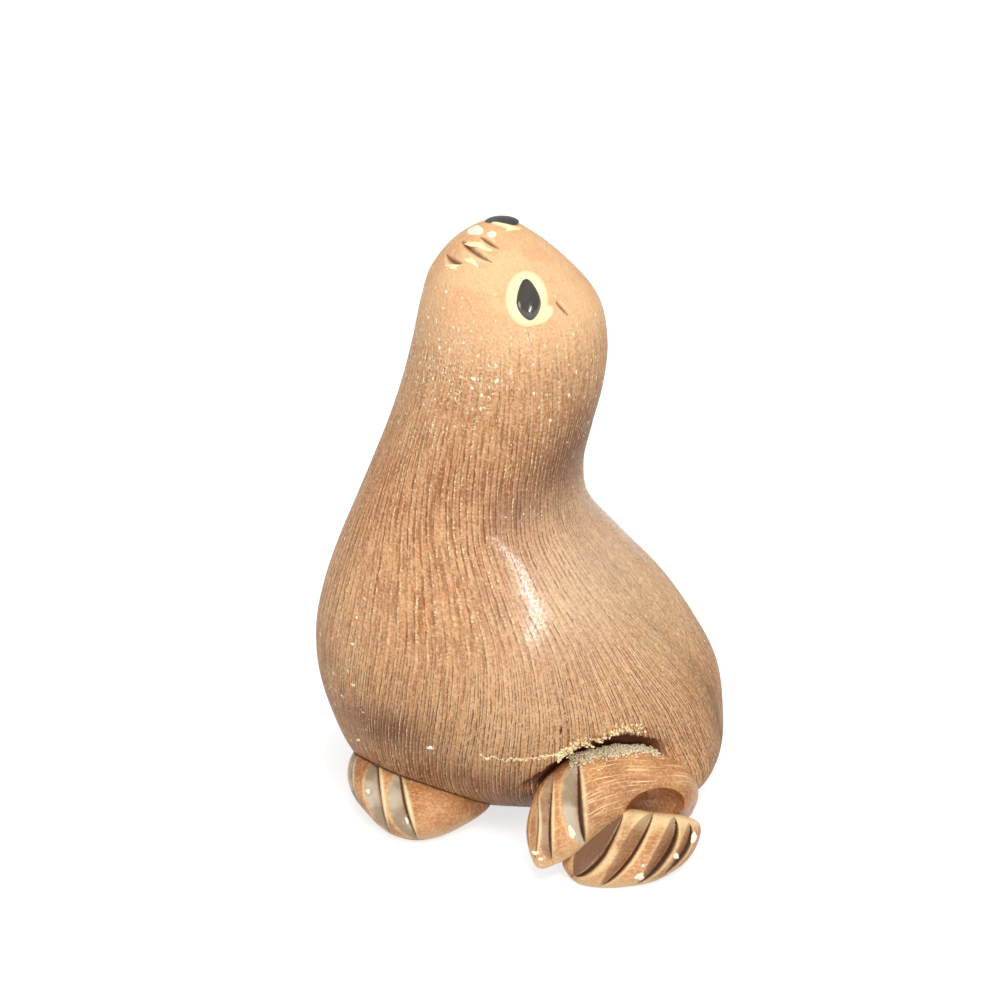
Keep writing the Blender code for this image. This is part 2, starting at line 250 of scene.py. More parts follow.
# The waxed spot: real gloss from the coat, and a painted glow in the hide's colour.
WAX_AND_PAINTED_GLOW = SoftPatch(0.0075, 0.0430, 0.0120, 0.0110, 0.90)
FLECKED_CHEST = SoftPatch(-0.0270, 0.0280, 0.0070, 0.0200, 0.50)
# How the comb was led round the body, and the fold and the hollow that the carver left over the hind flippers.
SWEEPS = (
    Sweep(21.0, 0.042, 0.006, (1.50, 2.25), (2.25, math.pi)),
    Sweep(17.0, 0.078, 0.050, (0.70, 1.80), (1.95, 2.85)),
    Sweep(-15.0, 0.036, 0.005, (0.0, 1.0), (1.1, 2.2)),
)
FOLD = (
    FoldStation(-0.0010, 0.0110, 0.0001, -0.0176, 0.0000),
    FoldStation(0.0040, 0.0135, 0.0025, -0.0176, 0.0022),
    FoldStation(0.0096, 0.0167, 0.0029, -0.0168, 0.0024),
    FoldStation(0.0150, 0.0169, 0.0027, -0.0157, 0.0022),
    FoldStation(0.0208, 0.0148, 0.0024, -0.0155, 0.0018),
    FoldStation(0.0242, 0.0112, 0.0001, -0.0150, 0.0000),
)
HOLLOW = (0.0192, -0.0205, 0.0086)
HOLLOW_RADII = (0.0048, 0.0046, 0.0034)
LINE_COUNT = 384
FAR = 9.0
VIEW_RISE = math.radians(25)
# Glaze, slip and chips, each on the form that carries it.
EYE_RIM = (
    Dab(0.867, 1.83, 0.00298, 0.00395, 0.00030, right=0.00040),
    Dab(0.867, 1.83, 0.00190, 0.00120, 0.00016, turn=0.7, uneven=0.05, right=0.0024, up=-0.0021),
)
EYE_DROP = Dab(0.867, 1.83, 0.00178, 0.00292, 0.0011, taper=0.62, turn=0.12, right=0.00055, up=-0.0001)
FACE_CHIPS = (
    Dab(0.963, 0.42, 0.00118, 0.00080, 0.00022, uneven=0.10),
    Dab(0.963, 1.26, 0.00070, 0.00050, 0.00020, uneven=0.08, right=0.0002, up=0.0001),
    Dab(0.254, 1.10, 0.00048, 0.00026, 0.00016, uneven=0.18),
    Dab(0.225, 0.55, 0.00030, 0.00022, 0.00015, uneven=0.10),
)
FACE_SLIP = (
    Dab(0.950, 1.00, 0.00200, 0.00042, 0.00016, turn=-0.36, uneven=0.22, right=-0.0001, up=-0.0006),
    Dab(0.930, 1.05, 0.00120, 0.00036, 0.00012, turn=-0.55, uneven=0.26, right=-0.0004, up=-0.0011),
    Dab(0.979, 1.99, 0.00220, 0.00032, 0.00012, turn=-0.28, uneven=0.12, up=0.0001),
    Dab(0.971, 2.40, 0.00110, 0.00034, 0.00014, turn=0.20, uneven=0.14),
    Dab(0.912, 0.60, 0.00090, 0.00038, 0.00012, turn=-0.20, uneven=0.28, up=-0.0009),
)
UPPER_CHIPS = (
    Dab(0.700, 0.99, 0.00050, 0.00110, 0.00016, taper=0.5, uneven=0.08, turn=0.35),
    Dab(0.887, 0.79, 0.00060, 0.00032, 0.00016, uneven=0.12),
    Dab(0.860, 0.60, 0.00040, 0.00024, 0.00014, uneven=0.12, right=0.0002),
)
LOWER_CHIPS = (
    Dab(0.171, 1.57, 0.00045, 0.00085, 0.00016, uneven=0.10, turn=-0.2),
    Dab(0.279, 1.10, 0.00040, 0.00045, 0.00016, uneven=0.12),
    Dab(0.433, 0.58, 0.00070, 0.00055, 0.00018, uneven=0.16, turn=0.3),
    Dab(0.420, 0.95, 0.00025, 0.00025, 0.00014, uneven=0.10),
)
FRONT_CHIPS = (
    Dab(0.596, 1.26, 0.00036, 0.00042, 0.00016, uneven=0.12),
    Dab(0.396, 0.89, 0.00022, 0.00060, 0.00014, uneven=0.08, turn=0.3),
)
# Where the combing stops above the fold, as share of the torso's length and angle.
RAGGED_EDGE = (
    (0.262, 1.28),
    (0.250, 1.38),
    (0.246, 1.50),
    (0.247, 1.57),
    (0.251, 1.65),
    (0.255, 1.73),
    (0.262, 1.78),
    (0.271, 1.83),
    (0.275, 1.94),
    (0.283, 2.04),
    (0.284, 2.12),
    (0.280, 2.20),
    (0.267, 2.30),
    (0.242, 2.36),
)


def tone(red: int, green: int, blue: int) -> tuple[float, float, float, float]:
    """The linear colour of a screen colour that is given as three numbers up to 255.

    Args:
        red: its red.
        green: its green.
        blue: its blue.

    Returns:
        Red, green, blue and alpha.
    """
    parts = [value / 255 for value in (red, green, blue)]
    linear = [part / 12.92 if part <= 0.04045 else ((part + 0.055) / 1.055) ** 2.4 for part in parts]
    return (linear[0], linear[1], linear[2], 1.0)


def ramp(value: np.ndarray, low: float, high: float) -> np.ndarray:
    """A soft step from 0 at low to 1 at high.

    Args:
        value: the values that are looked at.
        low: where the step starts.
        high: where it ends.

    Returns:
        One value for each.
    """
    share = np.clip((value - low) / (high - low), 0.0, 1.0)
    return share * share * (3 - 2 * share)


def soft_patch(places: np.ndarray, patch: SoftPatch) -> np.ndarray:
    """The strength of a soft patch at each place."""
    off = ((places[:, 0] - patch.x) / patch.wide) ** 2 + ((places[:, 2] - patch.z) / patch.tall) ** 2
    return patch.strength * np.exp(-off)


def spline(table: np.ndarray, position: np.ndarray) -> np.ndarray:
    """Smooth values between the rows of a table, whose first and last rows only steer the ends.

    Args:
        table: the rows, one for each station of a form.
        position: places along the form, where 0 is the second row.

    Returns:
        One row of values for each place.
    """
    place = np.clip(position.astype(int), 0, len(table) - 4)
    part = (position - place)[:, None]
    before, first, second, after = (table[place + step] for step in range(4))
    bend = 2 * before - 5 * first + 4 * second - after + part * (3 * (first - second) + after - before)
    return first + 0.5 * part * (second - before + part * bend)


def slow_noise(seed: int, lanes: int, knots: int, lane: np.ndarray, share: np.ndarray) -> np.ndarray:
    """Random values that drift slowly along each of many lanes.

    Args:
        seed: the number that fixes the outcome.
        lanes: how many lanes there are.
        knots: how many random values stand along a lane.
        lane: the lane of each place.
        share: how far each place is along its lane, from 0 to 1.

    Returns:
        One value for each place, mostly between -1 and 1.
    """
    table = np.random.default_rng(seed).uniform(-1, 1, (lanes, knots + 2))
    spot = np.clip(share, 0, 1) * knots
    low = np.minimum(spot.astype(int), knots)
    part = spot - low
    part = part * part * (3 - 2 * part)
    return table[lane, low] * (1 - part) + table[lane, low + 1] * part


class Form:
    """A smooth shape with a length and an angle round it."""

    length: int

    def points(self, position: np.ndarray, angle: np.ndarray) -> np.ndarray:
        """The places on the surface, one row each."""
        raise NotImplementedError

    def normals(self, position: np.ndarray, angle: np.ndarray) -> np.ndarray:
        """Works out which way is outwards.

        Args:
            position: places along the form.
            angle: angles round it.

        Returns:
            One direction of length 1 for each place.
        """
        step = 0.01
        along = self.points(position + step, angle) - self.points(position - step, angle)
        around = self.points(position, angle + step) - self.points(position, angle - step)
        outward = np.cross(around, along)
        return outward / np.maximum(np.linalg.norm(outward, axis=1), 1e-12)[:, None]

    def carved(self, position: np.ndarray, angle: np.ndarray, depth: np.ndarray) -> np.ndarray:
        """The places on the surface after a depth is carved away.

        Args:
            position: places along the form.
            angle: angles round it.
            depth: how deep each place is carved, in metres.

        Returns:
            One row for each place.
        """
        inset = 0.02
        steady = np.clip(position, inset, self.length - inset)
        return self.points(position, angle) - self.normals(steady, angle) * depth[:, None]


class Torso(Form):
    """The body, neck and head. The angle starts at the chest and turns over the left flank to the back."""

    def __init__(self, sections: tuple[Section, ...], swell: Swell) -> None:
        """Keeps the sections as a table with a steering row at each end, and the swell.

        Args:
            sections: the levels of the torso, from the base to the crown.
            swell: the haunch.
        """
        self.swell = swell
        rows = np.array(sections)
        last = sections[-2]
        below = 2 * rows[0] - rows[1]
        beyond = np.array((last.height, -last.back, -last.front, -last.half_width))
        self.table = np.vstack((below, rows, beyond))
        self.length = len(sections) - 1

    def points(self, position: np.ndarray, angle: np.ndarray) -> np.ndarray:
        """Works out places on the hide.

        Args:
            position: places along the torso.
            angle: angles round it.

        Returns:
            One point for each place.
        """
        height, front, back, half_width = spline(self.table, position).T
        middle = (back - front) / 2
        reach = (back + front) / 2
        rise = self.risen(angle, height)
        x = middle - (reach + rise) * np.cos(angle)
        return np.stack((x, -(half_width + rise) * np.sin(angle), height), axis=1)

    def risen(self, angle: np.ndarray, height: np.ndarray) -> np.ndarray:
        """How far the swell lifts the hide at angles and heights.

        Args:
            angle: angles round the torso.
            height: heights above the floor.

        Returns:
            The rise in metres, one for each place.
        """
        off_round = (angle - self.swell.angle) / self.swell.angle_spread
        off_height = (height - self.swell.height) / self.swell.height_spread
        return self.swell.rise * np.exp(-(off_round**2) - off_height**2)

    def depth_of(self, places: np.ndarray) -> np.ndarray:
        """Works out roughly how deep points lie under the hide.

        Args:
            places: the points, one row each.

        Returns:
            The depth in metres, less than 0 outside the hide.
        """
        fine = np.linspace(0, self.length - 1.0, 2000)
        levels = spline(self.table, fine)
        position = np.interp(places[:, 2], levels[:, 0], fine)
        height, front, back, half_width = spline(self.table, position).T
        x = places[:, 0] - (back - front) / 2
        angle = np.arctan2(-places[:, 1] / half_width, -x / ((back + front) / 2))
        angle = np.where(angle < 0, angle + math.tau, angle)
        surface = self.points(position, angle)
        middle = (back - front) / 2
        reach = np.hypot(surface[:, 0] - middle, surface[:, 1])
        return reach - np.hypot(x, places[:, 1])


class Tongue(Form):
    """A flipper. Angle 0 is its outer edge, a quarter turn its outer face, and a half turn its inner edge."""

    def __init__(self, ribs: tuple[Rib, ...]) -> None:
        """Keeps the ribs as a table with a steering row at each end.

        Args:
            ribs: the ribs, from the root of the flipper to its tip.
        """
        first = self.continued(ribs[0], ribs[1])
        last = self.continued(ribs[-1], ribs[-2])
        rows = [(*rib.inner, *rib.outer, rib.half_thickness) for rib in ribs]
        self.table = np.array((first, *rows, last))
        self.length = len(ribs) - 1

    @staticmethod
    def continued(end: Rib, neighbour: Rib) -> tuple[float, ...]:
        """The rib past an end: the neighbour turned over where the flipper closes, else the same run on.

        Args:
            end: the first or last rib.
            neighbour: the rib beside it.

        Returns:
            The rib's two edges and half its thickness, as one row.
        """
        if end.half_thickness == 0:
            return (*neighbour.outer, *neighbour.inner, -neighbour.half_thickness)
        inner = (2 * a - b for a, b in zip(end.inner, neighbour.inner))
        outer = (2 * a - b for a, b in zip(end.outer, neighbour.outer))
        return (*inner, *outer, end.half_thickness)

    def centres(self, position: np.ndarray) -> np.ndarray:
        """The middles of the ribs at places along the flipper."""
        ribs = spline(self.table, np.clip(position, 0, self.length))
        return (ribs[:, 0:3] + ribs[:, 3:6]) / 2

    def points(self, position: np.ndarray, angle: np.ndarray) -> np.ndarray:
        """Works out places on the flipper.

        Args:
            position: places along the flipper.
            angle: angles round it.

        Returns:
            One point for each place.
        """
        ribs = spline(self.table, position)
        wide = (ribs[:, 3:6] - ribs[:, 0:3]) / 2
        along = self.centres(position + 0.05) - self.centres(position - 0.05)
        thick = np.cross(along, wide)
        thick *= (ribs[:, 6] / np.maximum(np.linalg.norm(thick, axis=1), 1e-12))[:, None]
        middle = (ribs[:, 3:6] + ribs[:, 0:3]) / 2
        return middle + wide * np.cos(angle)[:, None] + thick * np.sin(angle)[:, None]


@dataclass
class Cut:
    """What one crescent cut does to the surface near it."""

    depth: np.ndarray
    facet: np.ndarray
    wall: np.ndarray
    rim: np.ndarray


def gouge_line(form: Form, gouge: Gouge, count: int) -> tuple[np.ndarray, np.ndarray, np.ndarray]:
    """Follows the middle of a cut.

    Args:
        form: the form that is cut.
        gouge: the cut.
        count: how many places to give.

    Returns:
        Shares of the cut's length from 0 to 1, places along the form, and angles round it.
    """
    share = np.linspace(0, 1, count)
    bow = gouge.bow * np.sin(np.pi * share)
    position = (gouge.start[0] + (gouge.end[0] - gouge.start[0]) * share + bow) * form.length
    return share, position, gouge.start[1] + (gouge.end[1] - gouge.start[1]) * share


def near_path(places: np.ndarray, path: np.ndarray, room: float) -> np.ndarray:
    """The numbers of the places that lie within a room of the box round a path."""
    return np.flatnonzero(((places > path.min(0) - room) & (places < path.max(0) + room)).all(1))


def cut_into(form: Form, gouge: Gouge, places: np.ndarray) -> Cut:
    """Works out one crescent cut: a long sloping facet, and a steep wall on the side away from it.

    Args:
        form: the form that is cut.
        gouge: the cut.
        places: points of the form's surface, one row each.

    Returns:
        The depth in metres and the masks of the facet, the wall and the worn rims, one value for each point.
    """
    share, position, angle = gouge_line(form, gouge, 49)
    path = form.points(position, angle)
    across = np.cross(form.normals(position, angle), np.gradient(path, axis=0))
    across /= np.linalg.norm(across, axis=1)[:, None]
    made = Cut(*(np.zeros(len(places)) for _ in range(4)))
    near = near_path(places, path, 2 * gouge.width)
    if not len(near):
        return made
    apart = places[near][:, None, :] - path[None, :, :]
    distance = np.linalg.norm(apart, axis=2)
    nearest = distance.argmin(1)
    offset = apart[np.arange(len(near)), nearest]
    side = (offset * across[nearest]).sum(1)
    swell = np.sin(np.pi * np.clip(share[nearest], 0.004, 0.996)) ** 0.7
    away = np.clip(distance.min(1) - np.abs(side), 0, None) / gouge.width
    ratio = side / (gouge.width * swell)
    fade = 1 - ramp(away, 0.1, 0.6)
    slope = np.clip((ratio + 1.1) / 1.4, 0, 1) ** 1.3
    steep = 1 - ramp(ratio, 0.3, 0.7)
    made.depth[near] = gouge.depth * swell * slope * steep * fade
    made.facet[near] = ramp(ratio, -1.0, -0.8) * (1 - ramp(ratio, 0.15, 0.3)) * fade
    # The wall mask is where painted shade falls on the steep side of the cut.
    made.wall[near] = ramp(ratio, 0.22, 0.36) * (1 - ramp(ratio, 0.58, 0.74)) * fade
    rim = np.exp(-(((ratio - 0.86) / 0.17) ** 2)) + 0.5 * np.exp(-(((ratio + 1.08) / 0.14) ** 2))
    made.rim[near] = rim * fade * swell
    return made


def slit_into(form: Form, gouge: Gouge, places: np.ndarray) -> tuple[np.ndarray, np.ndarray, np.ndarray]:
    """Works out one slit, the same on both sides of its middle.

    Args:
        form: the form that is cut.
        gouge: the slit, whose width is half the width of its mouth.
        places: points of the form's surface, one row each.

    Returns:
        The depth in metres, how much painted shade the slit gets and how pale its lips are, one value for each
        point.
    """
    share, position, angle = gouge_line(form, gouge, 65)
    path = form.points(position, angle)
    depth, dark, lip = (np.zeros(len(places)) for _ in range(3))
    near = near_path(places, path, 0.002)
    if not len(near):
        return depth, dark, lip
    distance = np.linalg.norm(places[near][:, None, :] - path[None, :, :], axis=2)
    swell = np.sin(np.pi * np.clip(share[distance.argmin(1)], 0.06, 0.96)) ** 0.6
    ratio = distance.min(1) / (gouge.width * swell)
    depth[near] = gouge.depth * swell * np.exp(-(ratio**2))
    dark[near] = np.exp(-((ratio / 0.75) ** 2))
    lip[near] = np.exp(-(((ratio - 1.9) / 0.7) ** 2)) * swell
    return depth, dark, lip


class Skin:
    """A grid wrapped round a form and welded into one closed skin."""

    def __init__(self, rows: int, columns: int) -> None:
        """Makes the flat grid and keeps where each of its points is, across and along, from 0 to 1.

        Args:
            rows: how many faces there are along the form.
            columns: how many there are round it.
        """
        self.shape = bmesh.new()
        self.shape.loops.layers.uv.new("lines")
        bmesh.ops.create_grid(self.shape, x_segments=columns, y_segments=rows, size=0.5, calc_uvs=True)
        spots = np.array([vertex.co[:2] for vertex in self.shape.verts]) + 0.5
        self.turn = spots[:, 0]
        self.share = spots[:, 1]

    def place(self, places: np.ndarray) -> None:
        """Moves every point to its place."""
        for vertex, spot in zip(self.shape.verts, places):
            vertex.co = spot

    def measure(self, along: np.ndarray) -> None:
        """Writes each point's true way along the piece into the lines layer.

        Args:
            along: the way in millimetres, one for each point.
        """
        layer = self.shape.loops.layers.uv["lines"]
        self.shape.verts.index_update()
        for face in self.shape.faces:
            for loop in face.loops:
                loop[layer].uv.y = along[loop.vert.index]

    def mark(self, name: str, values: np.ndarray) -> None:
        """Keeps a value for each point under a name that materials read.

        Args:
            name: the name.
            values: one value for each point.
        """
        layer = self.shape.verts.layers.float.new(name)
        for vertex, value in zip(self.shape.verts, values):
            vertex[layer] = float(value)

    def finished(self, name: str, material: bpy.types.Material) -> bpy.types.Object:
        """Welds the seam and the ends, turns every face outwards and hands over the piece.

        Args:
            name: the piece's name.
            material: the piece's finish.

        Returns:
            The new object.
        """
        bmesh.ops.remove_doubles(self.shape, verts=self.shape.verts, dist=2e-6)
        open_edges = [edge for edge in self.shape.edges if edge.is_boundary]
        bmesh.ops.holes_fill(self.shape, edges=open_edges, sides=0)
        return finished_piece(name, self.shape, material)


def finished_piece(name: str, shape: bmesh.types.BMesh, material: bpy.types.Material) -> bpy.types.Object:
    """Turns a shape into a piece that rides on the body and stands for the plain solid.

    Args:
        name: the piece's name.
        shape: the shape, which is used up.
        material: the piece's finish.

    Returns:
        The new object.
    """
    shape.normal_update()
    bmesh.ops.recalc_face_normals(shape, faces=shape.faces)
    mesh = bpy.data.meshes.new(name)
    shape.to_mesh(mesh)
    shape.free()
    mesh.shade_smooth()
    mesh.materials.append(material)
    piece = bpy.data.objects.new(name, mesh)
    bpy.context.scene.collection.objects.link(piece)
    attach(piece, BODY)
    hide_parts(NODE)
    LOG.info("%s: %d faces", name, len(mesh.polygons))
    return piece


class Wiring:
    """Adds shader nodes to one tree and joins them."""

    def __init__(self, tree: bpy.types.NodeTree) -> None:
        """Keeps the tree."""
        self.tree = tree

    def node(self, kind: str, **settings: object) -> bpy.types.Node:
        """A new node of one kind with its settings.

        Args:
            kind: the node's type.
            settings: its properties by name.

        Returns:
            The node.
        """
        made = self.tree.nodes.new(kind)
        for name, value in settings.items():
            setattr(made, name, value)
        return made

    def put(self, socket: bpy.types.NodeSocket, value: object) -> None:
        """Gives a socket a link or a plain value.

        Args:
            socket: the socket.
            value: another socket, or a number, vector or colour.
        """
        if isinstance(value, bpy.types.NodeSocket):
            self.tree.links.new(value, socket)
        else:
            socket.default_value = value

    def math(self, operation: str, *values: object, clamp: bool = False) -> bpy.types.NodeSocket:
        """One sum on numbers or sockets.

        Args:
            operation: the kind of sum.
            values: what goes in.
            clamp: whether the result is kept between 0 and 1.

        Returns:
            The result's socket.
        """
        made = self.node("ShaderNodeMath", operation=operation, use_clamp=clamp)
        for socket, value in zip(made.inputs, values):
            self.put(socket, value)
        return made.outputs[0]

    def product(self, *values: object) -> bpy.types.NodeSocket:
        """The product of numbers or sockets."""
        return reduce(lambda first, second: self.math("MULTIPLY", first, second), values)

    def rest(self, value: object) -> bpy.types.NodeSocket:
        """What a share leaves of one."""
        return self.math("SUBTRACT", 1.0, value)

    def scaled(self, value: object, gain: float, start: float) -> bpy.types.NodeSocket:
        """A value times a gain, added to a start."""
        return self.math("MULTIPLY_ADD", value, gain, start)

    def blend(self, share: object, first: object, second: object) -> bpy.types.NodeSocket:
        """A number between two numbers."""
        return self.math("ADD", self.product(first, self.rest(share)), self.product(second, share))

    def step(self, value: object, low: float, high: float) -> bpy.types.NodeSocket:
        """A soft step from 0 at low to 1 at high.

        Args:
            value: the value that is looked at.
            low: where the step starts.
            high: where it ends.

        Returns:
            The result's socket.
        """
        made = self.node("ShaderNodeMapRange", interpolation_type="SMOOTHSTEP")
        self.put(made.inputs["Value"], value)
        made.inputs["From Min"].default_value = low
        made.inputs["From Max"].default_value = high
        return made.outputs["Result"]

    def mix(self, share: object, first: object, second: object) -> bpy.types.NodeSocket:
        """A colour between two colours.

        Args:
            share: how much of the second colour there is.
            first: the first colour.
            second: the second colour.

        Returns:
            The result's socket.
        """
        made = self.node("ShaderNodeMix", data_type="RGBA")
        self.put(made.inputs["Factor"], share)
        self.put(made.inputs["A"], first)
        self.put(made.inputs["B"], second)
        return made.outputs["Result"]

    def layered(self, base: object, *layers: tuple[object, object]) -> bpy.types.NodeSocket:
        """A colour with others laid over it in order, each by its own share."""
        return reduce(lambda under, layer: self.mix(layer[0], under, layer[1]), layers, base)

    def vector(self, x: object, y: object, z: object) -> bpy.types.NodeSocket:
        """A vector from three numbers or sockets.

        Args:
            x: the first part.
            y: the second part.
            z: the third part.

        Returns:
            The result's socket.
        """
        made = self.node("ShaderNodeCombineXYZ")
        for socket, value in zip(made.inputs, (x, y, z)):
            self.put(socket, value)
        return made.outputs[0]

    def noise(self, vector: object, scale: float, detail: float = 2.0) -> bpy.types.NodeSocket:
        """Cloudy values round a half.

        Args:
            vector: where the noise is read.
            scale: how fine it is.
            detail: how much finer noise is in it.

        Returns:
            The result's socket.
        """
        made = self.node("ShaderNodeTexNoise")
        self.put(made.inputs["Vector"], vector)
        made.inputs["Scale"].default_value = scale
        made.inputs["Detail"].default_value = detail
        return made.outputs["Fac"]

    def strands(
        self, line: object, along: object, across: float, length: float, seed: float = 0.0, detail: float = 2.0
    ) -> bpy.types.NodeSocket:
        """Cloudy values that are drawn out along the combed lines.

        Args:
            line: the line's number.
            along: the way along it, in millimetres.
            across: how fast the values change from line to line.
            length: how fast they change along a line.
            seed: a number that sets one noise apart from another.
            detail: how much finer noise is in it.

        Returns:
            Values round a half.
        """
        place = self.vector(self.product(line, across), self.product(along, length), seed)
        return self.noise(place, 1.0, detail)

    def mark(self, name: str) -> bpy.types.NodeSocket:
        """The value that a piece keeps under a name."""
        return self.node("ShaderNodeAttribute", attribute_name=name).outputs["Fac"]

    def seam(self, near: float, far: float) -> bpy.types.NodeSocket:
        """How close a place is to where two forms meet: 1 up to near, 0 from far on, in millimetres."""
        return self.rest(self.step(self.math("ABSOLUTE", self.mark("seam")), near, far))

    def place(self) -> bpy.types.NodeSocket:
        """The place on the object in metres."""
        return self.node("ShaderNodeTexCoord").outputs["Object"]

    def lines(self) -> tuple[bpy.types.NodeSocket, bpy.types.NodeSocket]:
        """How far a place is round and along its piece.

        Returns:
            The share of the way round, and the way along.
        """
        source = self.node("ShaderNodeUVMap", uv_map="lines").outputs[0]
        parts = self.node("ShaderNodeSeparateXYZ")
        self.put(parts.inputs[0], source)
        return parts.outputs[0], parts.outputs[1]

    def group(self, tree: bpy.types.NodeTree, **values: object) -> bpy.types.Node:
        """A node group with its inputs given by name.

        Args:
            tree: the group.
            values: its inputs by name.

        Returns:
            The node.
        """
        made = self.node("ShaderNodeGroup", node_tree=tree)
        for name, value in values.items():
            self.put(made.inputs[name], value)
        return made


class Effect:
    """A node group with named inputs and outputs."""

    def __init__(self, name: str, inputs: dict[str, float], outputs: tuple[str, ...]) -> None:
        """Makes the empty group.

        Args:
            name: the group's name.
            inputs: each input's name and its value where nothing is joined to it.
            outputs: each output's name.
        """
        self.tree = bpy.data.node_groups.new(name, "ShaderNodeTree")
        for title, value in inputs.items():
            socket = self.tree.interface.new_socket(title, in_out="INPUT", socket_type="NodeSocketFloat")
            socket.default_value = value
        for title in outputs:
            self.tree.interface.new_socket(title, in_out="OUTPUT", socket_type="NodeSocketFloat")
        self.wiring = Wiring(self.tree)
        self.given = self.wiring.node("NodeGroupInput").outputs
        self.result = self.wiring.node("NodeGroupOutput").inputs


def comb_lines() -> bpy.types.NodeTree:
    """Fine scraped lines: a dark furrow, a crumbly pale burr beside it, and white flecks.

    Returns:
        A group that takes the line's number, the way along it in millimetres, the flecks, how far the burrs
        crumble and how far every second line is missing.
    """
    inputs = {"Line": 0.0, "Along": 0.0, "Flecks": 0.5, "Crumble": 0.0, "Sparse": 0.0}
    effect = Effect("comb_lines", inputs, ("Furrow", "Burr", "Fleck"))
    w = effect.wiring
    line = effect.given["Line"]
    along = effect.given["Along"]
    flecks = effect.given["Flecks"]
    sparse = effect.given["Sparse"]
    # Each line keeps its own number, so that it drifts, thins out and breaks by itself.
    number = w.math("ROUND", line)
    drift = w.scaled(w.strands(number, along, 3.7, 0.40), 0.45, -0.225)
    offset = w.math("ADD", w.math("SUBTRACT", line, number), drift)
    weight = w.step(w.strands(number, along, 7.7, 0.07, 5.0), 0.30, 0.62)
    odd = w.math("ABSOLUTE", w.math("MODULO", number, 2.0))
    onset = w.strands(number, along, 6.1, 0.03, 15.0)
    missing = w.step(w.math("ADD", sparse, w.math("SUBTRACT", onset, 0.5)), 0.35, 0.65)
    kept = w.scaled(w.product(odd, missing), -0.85, 1.0)

    # The furrow, a little to one side of the line's middle; the hide colours it with painted shade.
    middle = w.rest(w.step(w.math("ABSOLUTE", w.math("ADD", offset, 0.10)), 0.03, 0.19))
    broken = w.step(w.strands(number, along, 5.3, 0.80, 3.0, 3.0), 0.36, 0.54)
    furrow = w.product(middle, broken, w.scaled(weight, 0.65, 0.35), kept)

    # The burr that the comb threw up beside it, in strokes that crumble.
    crumbly = w.strands(line, along, 2.1, 2.6, 7.0, 3.0)
    beside = w.math("ABSOLUTE", w.math("SUBTRACT", offset, 0.16))
    beside = w.math("SUBTRACT", beside, w.scaled(crumbly, 0.30, -0.15))
    ridge = w.rest(w.step(w.math("SUBTRACT", beside, w.product(sparse, 0.24)), 0.05, 0.20))
    strokes = w.step(w.strands(number, along, 4.3, 0.60, 9.0), 0.40, 0.58)
    lasting = w.scaled(effect.given["Crumble"], -0.35, 0.45)
    crumbled = w.blend(w.step(crumbly, 0.42, 0.56), lasting, 1.0)
    burr = w.product(ridge, w.scaled(weight, 0.58, 0.42), w.scaled(strokes, 0.85, 0.15), crumbled, kept)

    # Flecks of white slip, small ones and a few large ones.
    small = w.math("SUBTRACT", w.strands(line, along, 1.5, 1.7, 11.0), w.scaled(flecks, -0.20, 0.835))
    large = w.math("SUBTRACT", w.strands(line, along, 0.36, 0.90, 21.0, 1.0), w.scaled(flecks, -0.19, 0.835))
    small = w.math("MULTIPLY", small, 22.0, clamp=True)
    large = w.math("MULTIPLY", large, 20.0, clamp=True)
    w.put(effect.result["Furrow"], furrow)
    w.put(effect.result["Burr"], burr)
    w.put(effect.result["Fleck"], w.math("MAXIMUM", small, large))
    return effect.tree


def clay_grain() -> bpy.types.NodeTree:
    """Fired clay's fine speckle and soft clouding.

    Returns:
        A group that takes the grain's size and puts out speckle, clouding and a height.
    """
    effect = Effect("clay_grain", {"Fineness": 1.0}, ("Speckle", "Cloud", "Height"))
    w = effect.wiring
    scaled = w.node("ShaderNodeVectorMath", operation="SCALE")
    w.put(scaled.inputs[0], w.place())
    w.put(scaled.inputs["Scale"], effect.given["Fineness"])
    place = scaled.outputs[0]
    speckle = w.noise(place, 2600.0)
    w.put(effect.result["Speckle"], speckle)
    w.put(effect.result["Cloud"], w.noise(place, 230.0, 3.0))
    w.put(effect.result["Height"], w.math("ADD", w.product(speckle, 0.8), w.noise(place, 1300.0)))
    return effect.tree


@dataclass(frozen=True)
class Effects:
    """The node groups that more than one finish uses."""

    lines: bpy.types.NodeTree
    grain: bpy.types.NodeTree


class Finish:
    """A material with its shader and the wiring that feeds it."""

    def __init__(self, name: str) -> None:
        """Makes the material with a bare shader.

        Args:
            name: the material's name.
        """
        self.material = bpy.data.materials.new(name)
        self.material.use_nodes = True
        tree = self.material.node_tree
        tree.nodes.clear()
        self.wiring = Wiring(tree)
        self.shader = self.wiring.node("ShaderNodeBsdfPrincipled")
        output = self.wiring.node("ShaderNodeOutputMaterial")
        self.wiring.put(output.inputs["Surface"], self.shader.outputs[0])

    def grain(self, effects: Effects) -> tuple[bpy.types.NodeSocket, ...]:
        """The clay's speckle, clouding and height."""
        outputs = self.wiring.group(effects.grain, Fineness=1.0).outputs
        return outputs["Speckle"], outputs["Cloud"], outputs["Height"]

    def dress(self, **values: object) -> None:
        """Gives the shader's sockets their links or plain values; an underscore stands for a space."""
        for name, value in values.items():
            self.wiring.put(self.shader.inputs[name.replace("_", " ")], value)

    def relief(self, height: bpy.types.NodeSocket, distance: float) -> None:
        """Gives the surface a fine relief that is distance high.

        Args:
            height: the relief's shape.
            distance: its height in metres.
        """
        bump = self.wiring.node("ShaderNodeBump")
        bump.inputs["Distance"].default_value = distance
        self.wiring.put(bump.inputs["Height"], height)
        self.wiring.put(self.shader.inputs["Normal"], bump.outputs[0])


